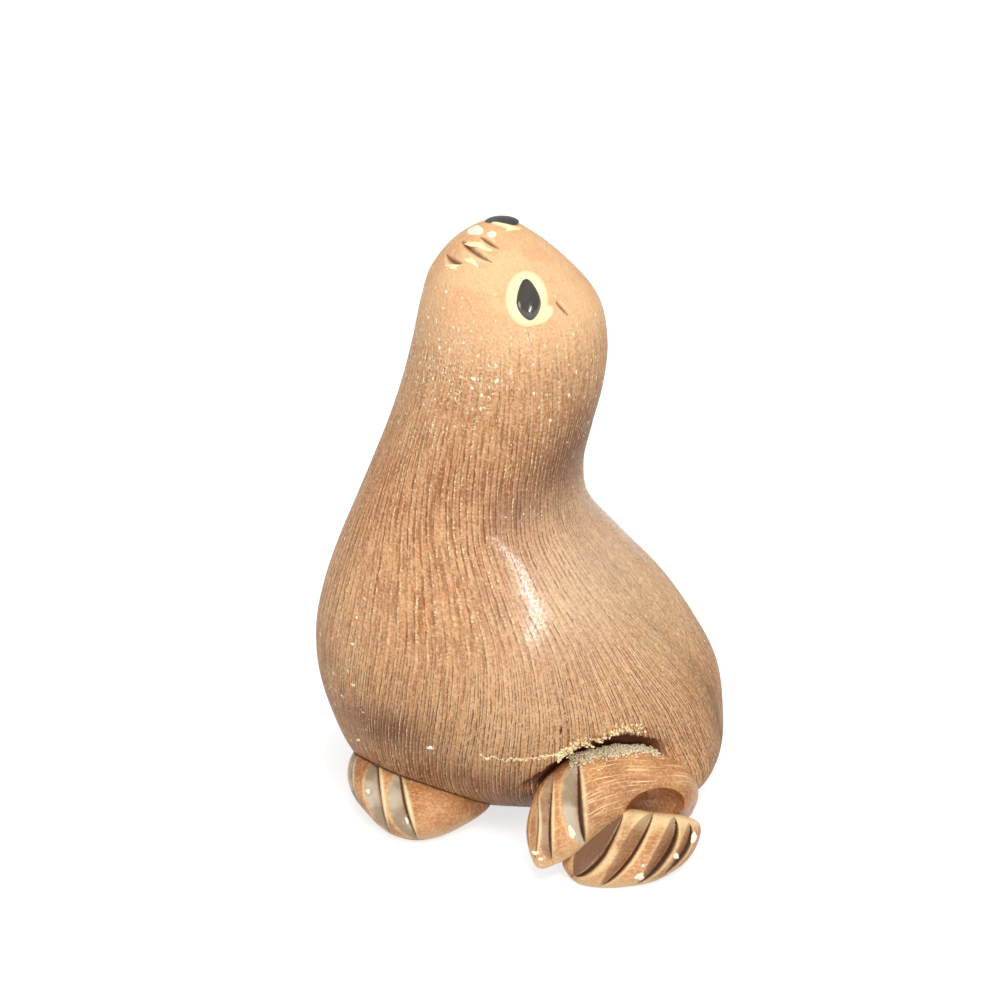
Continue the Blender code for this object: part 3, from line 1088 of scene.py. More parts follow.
@dataclass(frozen=True)
class CombedHide:
    """The hide: brown slip combed down to paler clay, bare on the muzzle, and waxed to a gloss on a spot of the
    flank.
    """

    deep: tuple = tone(154, 92, 48)
    slip: tuple = tone(204, 146, 98)
    light: tuple = tone(238, 194, 146)
    bare: tuple = tone(228, 184, 136)
    mottle: tuple = tone(220, 156, 110)
    shadow: tuple = tone(104, 52, 22)
    painted_crease_shade: tuple = tone(96, 52, 32)
    # The furrow colour is painted shade in the grooves.
    furrow: tuple = tone(104, 56, 27)
    burr: tuple = tone(254, 224, 174)
    fleck: tuple = tone(255, 244, 214)
    painted_glow: tuple = tone(220, 200, 180)
    roughness: float = 0.55
    coat: float = 0.9
    coat_roughness: float = 0.15
    specular: float = 0.22
    relief_height: float = 0.00014

    def made(self, effects: Effects) -> bpy.types.Material:
        """Builds the material from the shared node groups.

        Args:
            effects: the node groups.

        Returns:
            The material.
        """
        finish = Finish("combed_hide")
        w = finish.wiring
        around, along = w.lines()
        line = w.product(around, float(LINE_COUNT))
        bare, comb, crumble, sheen = (w.mark(name) for name in ("bare", "comb", "crumble", "sheen"))
        fine = w.group(effects.lines, Line=line, Along=along, Flecks=w.mark("flecks"), Crumble=crumble).outputs
        third = w.product(line, 1 / 3)
        wide = w.group(
            effects.lines, Line=third, Along=along, Flecks=0.0, Crumble=crumble, Sparse=w.mark("sparse")
        ).outputs
        coarse = w.mark("coarse")
        furrow = w.product(w.blend(coarse, fine["Furrow"], wide["Furrow"]), w.math("POWER", comb, 1.7))
        burr = w.product(w.blend(coarse, fine["Burr"], wide["Burr"]), w.math("POWER", comb, 0.6))
        speckle, cloud, height = finish.grain(effects)
        streak = w.step(w.strands(line, along, 0.75, 0.16, detail=3.0), 0.38, 0.58)
        blush = w.step(w.noise(w.place(), 170.0, 3.0), 0.44, 0.60)
        base = w.layered(
            w.mix(streak, self.deep, self.slip),
            # Paler slip together with painted light, from the pale patches.
            (w.mark("light"), self.light),
            (bare, self.bare),
            (w.product(blush, bare, 0.55), self.mottle),
            (w.product(w.step(cloud, 0.4, 0.7), 0.18), self.light),
            (w.product(w.step(speckle, 0.50, 0.66), 0.40), self.light),
            (w.product(w.step(speckle, 0.50, 0.34), w.scaled(bare, -0.24, 0.34)), self.deep),
            # Painted shade in shadow brown, from the fold, the hollow and the dark patches.
            (w.mark("painted_shade"), self.shadow),
            # A greyish painted glow round the lamp's highlight on the waxed spot.
            (w.product(sheen, 0.30), self.painted_glow),
            # Painted shade in the furrows of the combed lines.
            (w.product(furrow, 0.82), self.furrow),
            (w.product(burr, 0.92), self.burr),
            (w.product(w.mark("rim"), w.step(cloud, 0.30, 0.62)), self.burr),
            # Painted shade inside the mouth and ear slits.
            (w.mark("slit"), self.painted_crease_shade),
            (fine["Fleck"], self.fleck),
            # Painted shade along the crease where the front flippers meet the hide.
            (w.product(w.seam(0.10, 0.42), 0.9), self.painted_crease_shade),
        )
        waxed = w.product(sheen, w.scaled(w.step(speckle, 0.40, 0.60), 0.7, 0.3), self.coat)
        finish.dress(Base_Color=base, Roughness=self.roughness, Specular_IOR_Level=self.specular)
        finish.dress(Coat_Weight=waxed, Coat_Roughness=self.coat_roughness)
        finish.relief(w.math("SUBTRACT", w.math("ADD", height, burr), furrow), self.relief_height)
        return finish.material


@dataclass(frozen=True)
class CarvedClay:
    """The flippers: smooth orange clay, cut facets filled with grey glaze, worn cream edges, and painted shade on
    the cut walls, in the hollow and along the creases.
    """

    clay: tuple = tone(200, 140, 88)
    dark: tuple = tone(164, 102, 54)
    scratch: tuple = tone(240, 200, 150)
    facet: tuple = tone(196, 182, 158)
    facet_dark: tuple = tone(150, 132, 106)
    brown: tuple = tone(110, 74, 48)
    # The wall colour is painted shade for the steep sides of the cuts and the creases.
    wall: tuple = tone(64, 34, 16)
    rim: tuple = tone(246, 220, 168)
    roughness: float = 0.40
    relief_height: float = 0.00010

    def made(self, effects: Effects) -> bpy.types.Material:
        """Builds the material from the shared node groups.

        Args:
            effects: the node groups.

        Returns:
            The material.
        """
        finish = Finish("carved_clay")
        w = finish.wiring
        speckle, cloud, height = finish.grain(effects)
        around, along = w.lines()
        scraped = w.step(w.strands(around, along, 110.0, 6.0, detail=4.0), 0.50, 0.66)
        scratched = w.product(scraped, w.mark("scratch"))
        base = w.layered(
            w.mix(w.step(cloud, 0.35, 0.65), self.dark, self.clay),
            (w.product(w.step(speckle, 0.48, 0.66), 0.35), self.scratch),
            (w.product(w.step(speckle, 0.50, 0.34), 0.35), self.dark),
            (scratched, self.scratch),
            (w.product(w.mark("worn"), w.step(cloud, 0.25, 0.5)), self.rim),
            (w.mark("facet"), w.mix(w.step(cloud, 0.4, 0.6), self.facet_dark, self.facet)),
            # Darker brown in the cuts, with painted shade on the lower flipper's first facet beside the upper
            # flipper and in the hollow.
            (w.mark("brown"), self.brown),
            # Painted shade on the steep walls of the cuts.
            (w.mark("wall"), self.wall),
            (w.product(w.mark("rim"), w.step(cloud, 0.2, 0.45)), self.rim),
            # Painted shade along the crease where a flipper meets the hide.
            (w.product(w.seam(0.12, 0.50), 0.85), self.wall),
        )
        finish.dress(Base_Color=base, Roughness=self.roughness)
        finish.relief(w.math("ADD", height, w.product(scratched, 0.6)), self.relief_height)
        return finish.material


@dataclass(frozen=True)
class Glaze:
    """A glaze of one colour that clouds towards a second, and is darker at its brim."""

    name: str
    colour: tuple
    cloud: tuple
    brim: tuple
    gloss: float
    coat: float = 0.0
    coat_roughness: float = 0.08
    relief_height: float = 0.00002

    def made(self, effects: Effects) -> bpy.types.Material:
        """Builds the material from the shared node groups.

        Args:
            effects: the node groups.

        Returns:
            The material.
        """
        finish = Finish(self.name)
        w = finish.wiring
        _, cloud, height = finish.grain(effects)
        base = w.mix(w.math("MAXIMUM", w.step(cloud, 0.4, 0.7), w.mark("tint")), self.colour, self.cloud)
        base = w.mix(w.step(w.mark("brim"), 0.80, 0.97), base, self.brim)
        finish.dress(Base_Color=base, Roughness=self.gloss)
        finish.dress(Coat_Weight=self.coat, Coat_Roughness=self.coat_roughness)
        finish.relief(height, self.relief_height)
        return finish.material


class GlazeName(Enum):
    """The glazes and loose stuff of one colour."""

    # The dark grey of the black glaze is partly a painted reflection, with the coat's real reflections on top;
    # the near-black brim is the glaze's own colour.
    BLACK = Glaze("black_glaze", tone(62, 58, 53), tone(74, 70, 62), tone(14, 12, 11), 0.22, 1.0)
    NOSE = Glaze("nose_glaze", tone(62, 59, 59), tone(82, 78, 78), tone(56, 53, 53), 0.18, 0.6)
    CREAM = Glaze("cream_slip", tone(240, 224, 176), tone(248, 234, 190), tone(238, 208, 156), 0.5)
    WHITE = Glaze("white_chip", tone(250, 244, 226), tone(240, 228, 200), tone(244, 226, 190), 0.7)
    CRUMB = Glaze("cream_crumbs", tone(226, 192, 140), tone(250, 232, 186), tone(226, 192, 140), 0.8)
    DUST = Glaze("fold_dust", tone(212, 190, 152), tone(244, 230, 196), tone(206, 184, 148), 0.9)


@dataclass
class Hide:
    """The torso's skin with its combed lines, mouth, ears and the fold above the hind flippers."""

    material: bpy.types.Material
    torso: Torso
    columns: int = 576
    crowding: float = 0.17
    wobble: float = 0.40
    base_rows: int = 8
    fold_rows: int = 28
    trunk_rows: int = 56
    cheek_rows: int = 22
    mouth_rows: int = 44
    crown_rows: int = 8
    fold_height: float = 0.0080
    trunk_height: float = 0.0200
    cheek_height: float = 0.0780
    mouth_height: float = 0.0866
    crown_height: float = 0.0913
    fading: tuple[float, float] = (0.0765, 0.0830)
    fading_length: float = 0.0045
    fold_depth: float = 0.0012
    sway_knots: int = 14

    def row_positions(self) -> np.ndarray:
        """Places along the torso for each row, close together at the fold and round the mouth.

        Returns:
            One place for each row of the grid.
        """
        fine = np.linspace(0, self.torso.length, 4000)
        heights = self.torso.points(fine, np.zeros(4000))[:, 2]
        ends = (self.fold_height, self.trunk_height, self.cheek_height, self.mouth_height, self.crown_height)
        counts = (self.base_rows, self.fold_rows, self.trunk_rows, self.cheek_rows, self.mouth_rows)
        spans = zip((0.0, *ends), ends, counts)
        wanted = np.concatenate([np.linspace(low, high, count, endpoint=False) for low, high, count in spans])
        lower = np.interp(wanted, heights, fine)
        start = np.interp(self.crown_height, heights, fine)
        crown = np.linspace(start, self.torso.length, self.crown_rows + 1)
        return np.concatenate((lower[:1], lower, crown))

    def build(self) -> bpy.types.Object:
        """Builds the hide.

        Returns:
            The piece.
        """
        positions = self.row_positions()
        rows = len(positions) - 1
        skin = Skin(rows, self.columns)
        row = np.rint(skin.share * rows).astype(int)
        position = positions[row]
        angle, height = self.combed(skin.turn, position)
        depth, slit, rim = self.slitted(self.torso.points(position, angle))
        places, fold = self.folded(self.torso.carved(position, angle, depth))
        places[:, 2] = np.maximum(places[:, 2], 0.0)
        # The first row is the middle of the base.
        places[row == 0] = (0.0, 0.0, 0.0)
        skin.place(places)
        skin.measure(self.walked(positions)[row])
        number = np.rint(skin.turn * LINE_COUNT).astype(int) % LINE_COUNT
        plain = 1 - (1 - self.bareness(number, height)) * (1 - fold)
        for name, values in self.marks(places, height, plain, fold).items():
            skin.mark(name, values)
        skin.mark("slit", slit)
        skin.mark("rim", rim)
        return skin.finished("combed_hide", self.material)

    def combed(self, turn: np.ndarray, position: np.ndarray) -> tuple[np.ndarray, np.ndarray]:
        """Leads the combed lines over the torso.

        Args:
            turn: how far round each point is in the grid, from 0 to 1.
            position: its place along the torso.

        Returns:
            Its angle round the torso, and its height.
        """
        angle = turn * math.tau
        upright = self.torso.points(position, angle)[:, 2]
        angle = angle + self.crowding * (1 - ramp(upright, 0.042, 0.068)) * np.sin(2 * angle)
        pitch = math.tau / LINE_COUNT
        angle = angle + self.wobble * pitch * self.wavering(turn * LINE_COUNT, position / self.torso.length)
        height = self.torso.points(position, angle)[:, 2]
        return self.twisted(angle, height), height

    def slitted(self, places: np.ndarray) -> tuple[np.ndarray, np.ndarray, np.ndarray]:
        """Works out the mouth and the ears on both sides of the head.

        Args:
            places: points of the hide.

        Returns:
            The depth in metres, how much painted shade each point gets and how pale, one value for each point.
        """
        depth, slit, rim = (np.zeros(len(places)) for _ in range(3))
        for side in (1, -1):
            for gouge in (*MOUTH_SLITS, *EAR_SLITS):
                sunk, dark, lip = slit_into(self.torso, gouge, places * (1, side, 1))
                depth = depth + sunk
                slit = np.maximum(slit, dark * 0.9)
                rim = np.maximum(rim, lip * 0.6)
        return depth, slit, rim

    def walked(self, positions: np.ndarray) -> np.ndarray:
        """Measures the way up the flank.

        Args:
            positions: places along the torso, in order.

        Returns:
            The way to each of them, in millimetres.
        """
        walk = self.torso.points(positions, np.full(len(positions), math.pi / 2))
        steps = np.linalg.norm(np.diff(walk, axis=0), axis=1)
        return 1000 * np.concatenate(((0.0,), np.cumsum(steps)))

    def marks(
        self, places: np.ndarray, height: np.ndarray, plain: np.ndarray, fold: np.ndarray
    ) -> dict[str, np.ndarray]:
        """Works out what the finish needs to know at each point.

        Args:
            places: points of the hide.
            height: how high each point stood before anything was carved.
            plain: how far it is free of combing.
            fold: how deep it is in the fold, from 0 to 1.

        Returns:
            The values under the names that the finish reads.
        """
        x = places[:, 0]
        hollow = self.hollow_mask(places)
        flank = ramp(x, 0.003, 0.015) * (1 - ramp(height, 0.052, 0.062))
        return {
            "comb": (1 - plain) * (1 - hollow) * (0.80 + 0.20 * ramp(-height, -0.040, -0.020)),
            "crumble": ramp(height, 0.024, 0.050) * (1 - soft_patch(places, CHEEK)),
            "sparse": 0.95 * ramp(height, 0.060, 0.070),
            "coarse": ramp(height, 0.026, 0.040) * (1 - flank),
            # sheen: the waxed spot's real gloss, which also lays the painted glow.
            "sheen": 0.10 + soft_patch(places, WAX_AND_PAINTED_GLOW),
            "bare": ramp(height, 0.0740, 0.0830),
            # The painted shade of the fold, the hollow and the dark patches.
            "painted_shade": self.patched(places, SHADE_PATCHES, np.maximum(fold * 0.9, hollow * 0.35)),
            # light: paler slip together with painted light on the lit parts of the flank.
            "light": self.patched(places, PALE_AND_LIT_PATCHES, np.zeros(len(places))),
            "flecks": self.flecked(places),
            "seam": self.seamed(places),
        }

    @staticmethod
    def hollow_mask(places: np.ndarray) -> np.ndarray:
        """How far each point of the left flank is inside the hollow of the hind flippers, from 0 to 1."""
        off = (places - np.array(HOLLOW)) / np.array(HOLLOW_RADII)
        return ramp(1.5 - off[:, 0] ** 2 - off[:, 2] ** 2, 0.0, 0.3) * (places[:, 1] < 0)

    def wavering(self, line: np.ndarray, share: np.ndarray) -> np.ndarray:
        """Works out how far each place sways to the side, alike for neighbouring lines.

        Args:
            line: the line of each place, counted round the torso.
            share: how far the place is along the torso, from 0 to 1.

        Returns:
            One value for each place, mostly between -1 and 1.
        """
        below = np.floor(line).astype(int)
        beyond = line - below
        first, second = (
            slow_noise(5, LINE_COUNT, self.sway_knots, lane % LINE_COUNT, share) for lane in (below, below + 1)
        )
        return first * (1 - beyond) + second * beyond

    @staticmethod
    def twisted(angle: np.ndarray, height: np.ndarray) -> np.ndarray:
        """Sweeps the lines back down the neck and over the rump, and sets them upright on the low chest.

        Args:
            angle: the angle of each place round the torso.
            height: its height.

        Returns:
            The new angles.
        """
        swept = angle
        for sweep in SWEEPS:
            amount = math.radians(sweep.degrees) * ramp(-height, -sweep.top, -sweep.bottom)
            for side, sign in ((angle, 1), (math.tau - angle, -1)):
                swept = swept + sign * amount * ramp(side, *sweep.rising) * (1 - ramp(side, *sweep.falling))
        return swept

    def bareness(self, number: np.ndarray, height: np.ndarray) -> np.ndarray:
        """How far each line has faded out into the smooth muzzle at each place, from 0 to 1.

        Args:
            number: the line of each place.
            height: its height.

        Returns:
            One value for each place.
        """
        start = np.random.default_rng(11).uniform(*self.fading, LINE_COUNT)[number]
        return ramp(height, start - self.fading_length, start)

    def folded(self, places: np.ndarray) -> tuple[np.ndarray, np.ndarray]:
        """Sinks the dark fold above the left hind flipper.

        Args:
            places: points of the hide.

        Returns:
            The new points, and how deep each one is in the fold, from 0 to 1.
        """
        x, y, z = places.T
        stations, *columns = np.array(FOLD).T
        level, tall, middle, reach = (np.interp(x, stations, column) for column in columns)
        inside = (x > stations[0]) & (x < stations[-1]) & (y < 0) & (np.abs(z - level) < tall)
        back = middle + reach * np.sqrt(np.clip(1 - ((z - level) / tall) ** 2, 0, 1))
        sunk = np.where(inside & (back > y), back - y, 0.0) * (1 - 0.85 * ramp(x, 0.0165, 0.0225))
        moved = places.copy()
        moved[:, 1] += sunk
        return moved, np.clip(sunk / self.fold_depth, 0, 1)

    @staticmethod
    def patched(places: np.ndarray, patches: tuple[SoftPatch, ...], base: np.ndarray) -> np.ndarray:
        """Adds soft patches to a base strength at each place and keeps the sum between 0 and 1."""
        return np.clip(base + sum(soft_patch(places, patch) for patch in patches), 0, 1)

    @staticmethod
    def flecked(places: np.ndarray) -> np.ndarray:
        """How thick the white flecks lie at each place.

        Args:
            places: points of the hide.

        Returns:
            One value for each point, from 0 to 1.
        """
        x, _, z = places.T
        neck = np.exp(-(((z - 0.070) / 0.014) ** 2))
        throat = np.exp(-(((z - 0.077) / 0.009) ** 2)) * ramp(-x, -0.001, 0.006)
        thick = 0.38 + 0.36 * neck + soft_patch(places, FLECKED_CHEST) + 0.30 * throat
        return np.clip(thick - 0.4 * ramp(z, 0.085, 0.088), 0, 1)

    @staticmethod
    def seamed(places: np.ndarray) -> np.ndarray:
        """Measures how far low points are from the skin of the front flippers.

        Args:
            places: points of the hide.

        Returns:
            One distance for each point in millimetres, with the value FAR where it is far.
        """
        rows, columns = 120, 90
        apart = np.full(len(places), FAR)
        front = Tongue(FRONT_FLIPPER_RIBS)
        tree = KDTree(rows * columns)
        share = np.linspace(0, 1, rows).repeat(columns)
        turn = np.tile(np.linspace(0, math.tau, columns), rows)
        for index, spot in enumerate(front.points(share * front.length, turn)):
            tree.insert(spot, index)
        tree.balance()
        for index in np.flatnonzero((places[:, 2] < 0.016) & (places[:, 0] < 0.0)):
            x, y, z = places[index]
            apart[index] = min(FAR, 1000 * tree.find((x, -abs(y), z))[2])
        return apart


@dataclass
class Flipper:
    """One flipper: a thick tongue with crescent cuts that part its digits."""

    name: str
    form: Tongue
    gouges: tuple[Gouge, ...]
    material: bpy.types.Material
    torso: Torso
    scratched: float
    greys: tuple[float, ...] = ()
    browns: tuple[float, ...] = ()
    top_edge: float = 0.0
    rim_strength: float = 1.0
    creased: bool = False
    rows: int = 250
    columns: int = 190
    face_share: float = 0.72
    mirrored: bool = False
    hollow: bool = False

    def build(self) -> bpy.types.Object:
        """Builds the flipper.

        Returns:
            The piece.
        """
        skin = Skin(self.rows, self.columns)
        position = skin.share * self.form.length
        # The outer face gets most of the columns, because it bears the cuts.
        outer = skin.turn / self.face_share
        inner = 1 + (skin.turn - self.face_share) / (1 - self.face_share)
        angle = math.pi * np.where(skin.turn < self.face_share, outer, inner)
        places = self.form.points(position, angle)
        depth, facet, brown, wall, rim, inside = (np.zeros(len(places)) for _ in range(6))
        for gouge, grey, dark in zip(self.gouges, self.greys, self.browns):
            cut = cut_into(self.form, gouge, places)
            depth = np.maximum(depth, cut.depth)
            facet = np.maximum(facet, cut.facet * grey)
            brown = np.maximum(brown, cut.facet * dark)
            wall = np.maximum(wall, cut.wall)
            rim = np.maximum(rim, cut.rim)
        places = self.form.carved(position, angle, depth)
        if self.hollow:
            places, inside = self.hollowed(places)
        places[:, 2] = np.maximum(places[:, 2], 0.0)
        seam = np.full(len(places), FAR)
        if self.creased:
            seam = np.clip(1000 * self.torso.depth_of(places), -FAR, FAR)
        skin.place(places * (1, -1 if self.mirrored else 1, 1))
        low_edge = np.exp(-((np.minimum(angle, math.tau - angle) / 0.45) ** 2))
        high_edge = np.exp(-(((angle - 2.40) / 0.42) ** 2))
        marks = {
            "facet": facet,
            # brown also carries painted shade in the hollow.
            "brown": np.maximum(brown, 0.20 * inside),
            "wall": wall,
            "rim": np.clip(rim * self.rim_strength, 0, 1),
            "worn": np.clip(0.6 * low_edge + self.top_edge * high_edge, 0, 1) * (1 - inside),
            "seam": seam,
            "scratch": self.scratched * (1 - inside) * (1 - 0.75 * ramp(skin.share, 0.60, 0.70)),
        }
        for name, values in marks.items():
            skin.mark(name, values)
        return skin.finished(self.name, self.material)

    @staticmethod
    def hollowed(places: np.ndarray) -> tuple[np.ndarray, np.ndarray]:
        """Sinks the dark hollow under the rim of the flipper.

        Args:
            places: points of the flipper.

        Returns:
            The new points, and how far each one is inside the hollow, from 0 to 1.
        """
        off = (places - np.array(HOLLOW)) / np.array(HOLLOW_RADII)
        flat = off[:, 0] ** 2 + off[:, 2] ** 2
        back = HOLLOW[1] + HOLLOW_RADII[1] * np.sqrt(np.clip(1 - flat, 0, 1))
        under = (flat < 1) & (back > places[:, 1])
        sunk = np.where(under, back - places[:, 1], 0.0) * ramp(1 - flat, 0.0, 0.30)
        moved = places.copy()
        moved[:, 1] += sunk
        return moved, ramp(1.35 - flat, 0.0, 0.30) * (np.abs(places[:, 1] - HOLLOW[1]) < 0.0060)


@dataclass
class Dabs:
    """Low domes laid on a form, such as the rims of the eyes, the drops of glaze and the white chips."""

    name: str
    material: bpy.types.Material
    spots: tuple[tuple[Form, Dab], ...]
    both_sides: bool = False
    segments: int = 48
    rings: int = 24
    sunk: float = 0.0006

    def flat(self, places: np.ndarray) -> np.ndarray:
        """Where places are seen from the flank, to the right and up, one row each."""
        up = places[:, 1] * math.sin(VIEW_RISE) + places[:, 2] * math.cos(VIEW_RISE)
        return np.stack((places[:, 0], up), axis=1)

    def surface(self, form: Form, dab: Dab, offsets: np.ndarray) -> tuple[np.ndarray, np.ndarray]:
        """Finds the places on a form that are seen at offsets from a dab's middle.

        Args:
            form: the form under the dab.
            dab: the dab.
            offsets: how far to the right and up each place is seen, one row each.

        Returns:
            The place along the form and the angle, for each offset.
        """
        position = np.full(len(offsets), dab.share * form.length)
        angle = np.full(len(offsets), dab.angle)
        goal = self.flat(form.points(position[:1], angle[:1])) + offsets
        step = 0.01
        for _ in range(6):
            here = self.flat(form.points(position, angle))
            by_row = (self.flat(form.points(position + step, angle)) - here) / step
            by_turn = (self.flat(form.points(position, angle + step)) - here) / step
            gap = goal - here
            spread = by_row[:, 0] * by_turn[:, 1] - by_row[:, 1] * by_turn[:, 0]
            position = position + (gap[:, 0] * by_turn[:, 1] - gap[:, 1] * by_turn[:, 0]) / spread
            angle = angle + (by_row[:, 0] * gap[:, 1] - by_row[:, 1] * gap[:, 0]) / spread
        return position, angle

    def add(self, shape: bmesh.types.BMesh, form: Form, dab: Dab, side: int) -> None:
        """Adds one dome to a shape.

        Args:
            shape: the shape.
            form: the form that carries the dome.
            dab: the dome's place and size.
            side: 1 for the left side, -1 for its mirror image on the right.
        """
        made = bmesh.ops.create_uvsphere(shape, u_segments=self.segments, v_segments=self.rings, radius=1.0)
        spots = np.array([vertex.co[:] for vertex in made["verts"]])
        turn = np.arctan2(spots[:, 1], spots[:, 0])
        ragged = 1 + dab.uneven * (np.sin(3 * turn + 9 * dab.angle) + 0.6 * np.sin(5 * turn + 40 * dab.share))
        narrow = 1 - dab.taper * (0.11 + 0.48 * spots[:, 1] + 0.80 * np.minimum(spots[:, 1], 0) ** 2)
        wide = spots[:, 0] * narrow * ragged * dab.wide
        tall = spots[:, 1] * ragged * dab.tall
        right = wide * math.cos(dab.turn) - tall * math.sin(dab.turn) + dab.right
        up = wide * math.sin(dab.turn) + tall * math.cos(dab.turn) + dab.up
        position, angle = self.surface(form, dab, np.stack((right, up), axis=1))
        lift = np.where(spots[:, 2] > 0, spots[:, 2] * dab.high, spots[:, 2] * self.sunk)
        places = form.points(position, angle) + form.normals(position, angle) * lift[:, None]
        brim = shape.verts.layers.float.get("brim") or shape.verts.layers.float.new("brim")
        outward = np.hypot(spots[:, 0], spots[:, 1])
        for vertex, spot, out in zip(made["verts"], places * (1, side, 1), outward):
            vertex.co = spot
            vertex[brim] = float(out)

    def build(self) -> bpy.types.Object:
        """Builds the domes.

        Returns:
            All of them as one piece.
        """
        shape = bmesh.new()
        shape.verts.layers.float.new("brim")
        for form, dab in self.spots:
            self.add(shape, form, dab, 1)
            if self.both_sides:
                self.add(shape, form, dab, -1)
        return finished_piece(self.name, shape, self.material)


@dataclass
class NoseCap:
    """The cap of dark glaze on the tip of the muzzle."""

    material: bpy.types.Material
    centre: tuple[float, float, float] = (-0.0032, 0.0002, 0.09145)
    radii: tuple[float, float, float] = (0.0024, 0.0017, 0.00080)

    def build(self) -> bpy.types.Object:
        """Builds the cap.

        Returns:
            The piece.
        """
        shape = bmesh.new()
        bmesh.ops.create_uvsphere(shape, u_segments=64, v_segments=32, radius=1.0)
        for vertex in shape.verts:
            vertex.co = Vector(c + r * s for c, r, s in zip(self.centre, self.radii, vertex.co))
        return finished_piece("nose_cap", shape, self.material)


@dataclass
class Crumbs:
    """Loose lumps of slip or dust: many tiny uneven balls of twenty faces each."""

    name: str
    material: bpy.types.Material
    seed: int

    def build(self, places: np.ndarray, sizes: np.ndarray) -> bpy.types.Object:
        """Builds one lump at each place.

        Args:
            places: the middles of the lumps, one row each.
            sizes: their radii in metres.

        Returns:
            All the lumps as one piece.
        """
        random = np.random.default_rng(self.seed)
        shape = bmesh.new()
        tint = shape.verts.layers.float.new("tint")
        for place, size in zip(places, sizes):
            made = bmesh.ops.create_icosphere(shape, subdivisions=1, radius=float(size))
            squash = random.uniform(0.55, 1.35, 3)
            shade = float(random.uniform(0, 1))
            for vertex in made["verts"]:
                vertex.co = Vector(place + np.array(vertex.co) * squash * random.uniform(0.75, 1.25))
                vertex[tint] = shade
        return finished_piece(self.name, shape, self.material)


@dataclass
class Litter:
    """What has gathered at the fold: the ragged slip where the combing ends, its crumbs, and dust."""

    torso: Torso
    flipper: Tongue
    slip: bpy.types.Material
    dust: bpy.types.Material
    bead_count: int = 420
    crumb_count: int = 260
    dust_count: int = 2600
    bead_radii: tuple[float, float] = (0.00005, 0.00016)
    crumb_radii: tuple[float, float] = (0.00007, 0.00028)
    dust_radii: tuple[float, float] = (0.00007, 0.00022)
    dust_stretch: tuple[float, float] = (0.12, 0.70)
    dust_depth: float = 0.0022
    pile: float = 0.0007
    drift: float = 0.0012
    dust_jitter: float = 0.00012
    upward: tuple[float, float] = (0.4226, 0.9063)

    def edge_places(self, low: float, high: float, count: int, jitter: float, seed: int) -> np.ndarray:
        """Places strewn along a stretch of the ragged edge.

        Args:
            low: where the stretch starts, from 0 to 1.
            high: where it ends.
            count: how many places there are.
            jitter: how far they stray, in metres.
            seed: the number that fixes the outcome.

        Returns:
            One row for each place.
        """
        random = np.random.default_rng(seed)
        path = np.array(RAGGED_EDGE)
        spot = random.uniform(low, high, count) * (len(path) - 1)
        share = np.interp(spot, np.arange(len(path)), path[:, 0])
        angle = np.interp(spot, np.arange(len(path)), path[:, 1])
        knots = random.uniform(-0.0032, 0.0032, 120)
        jag = np.interp(spot * 9, np.arange(120), knots)
        places = self.torso.points((share + jag) * self.torso.length, angle)
        return places + random.normal(0, jitter, (count, 3)) * (1.0, 0.4, 1.2)

    def dust_places(self, seed: int) -> np.ndarray:
        """Places strewn on the upper edge of the hind flipper, thickest at its very edge.

        Args:
            seed: the number that fixes the outcome.

        Returns:
            One row for each place.
        """
        random = np.random.default_rng(seed)
        count = self.dust_count
        share = random.uniform(*self.dust_stretch, count)
        position = share * self.flipper.length
        # At each place along the flipper the dust lies on the highest line that isn't deep in the body.
        turns = np.linspace(1.3, 3.5, 45)
        heights = np.empty((count, len(turns)))
        for index, turn in enumerate(turns):
            places = self.flipper.points(position, np.full(count, turn))
            up = places[:, 1] * self.upward[0] + places[:, 2] * self.upward[1]
            heights[:, index] = np.where(self.torso.depth_of(places) < self.dust_depth, up, -1.0)
        top = turns[heights.argmax(1)]
        angle = top - np.abs(random.normal(0, 0.22, count)) + 0.10
        places = self.flipper.points(position, angle)
        places[:, 2] += np.exp(-(((angle - top) / 0.15) ** 2)) * random.uniform(0, self.pile, count)
        places[:, 2] += ramp(-share, -0.36, -0.12) * random.uniform(0, self.drift, count)
        return places + random.normal(0, self.dust_jitter, (count, 3))

    def build(self) -> None:
        """Builds the crumbs and the dust."""
        random = np.random.default_rng(8)
        beads = self.edge_places(0.06, 0.44, self.bead_count, 0.00008, 31)
        crumbs = self.edge_places(0.40, 0.84, self.crumb_count, 0.00032, 32)
        crumbs[:, 2] -= 0.0005
        bead_sizes = random.uniform(*self.bead_radii, len(beads))
        crumb_sizes = random.uniform(*self.crumb_radii, len(crumbs))
        sizes = np.concatenate((bead_sizes, crumb_sizes))
        Crumbs("cream_crumbs", self.slip, 41).build(np.vstack((beads, crumbs)), sizes)
        dust = self.dust_places(33)
        Crumbs("fold_dust", self.dust, 42).build(dust, random.uniform(*self.dust_radii, len(dust)))


@dataclass(frozen=True)
class Lamp:
    """One soft lamp: where it hangs, its width and height, its watts, and how far it is rolled in degrees."""

    name: str
    place: tuple[float, float, float]
    size: tuple[float, float]
    energy: float
    roll: float = 0.0
    mirrored: bool = True

    def hang(self, target: tuple[float, float, float]) -> None:
        """Hangs the lamp so that it faces a target.

        Args:
            target: the point it faces.
        """
        data = bpy.data.lights.new(self.name, "AREA")
        data.shape = "RECTANGLE"
        data.size, data.size_y = self.size
        data.energy = self.energy
        lamp = bpy.data.objects.new(self.name, data)
        lamp.location = self.place
        aim = (Vector(target) - Vector(self.place)).to_track_quat("-Z", "Y")
        lamp.rotation_euler = (aim @ Quaternion((0.0, 0.0, 1.0), math.radians(self.roll))).to_euler()
        lamp.visible_glossy = self.mirrored
        bpy.context.scene.collection.objects.link(lamp)


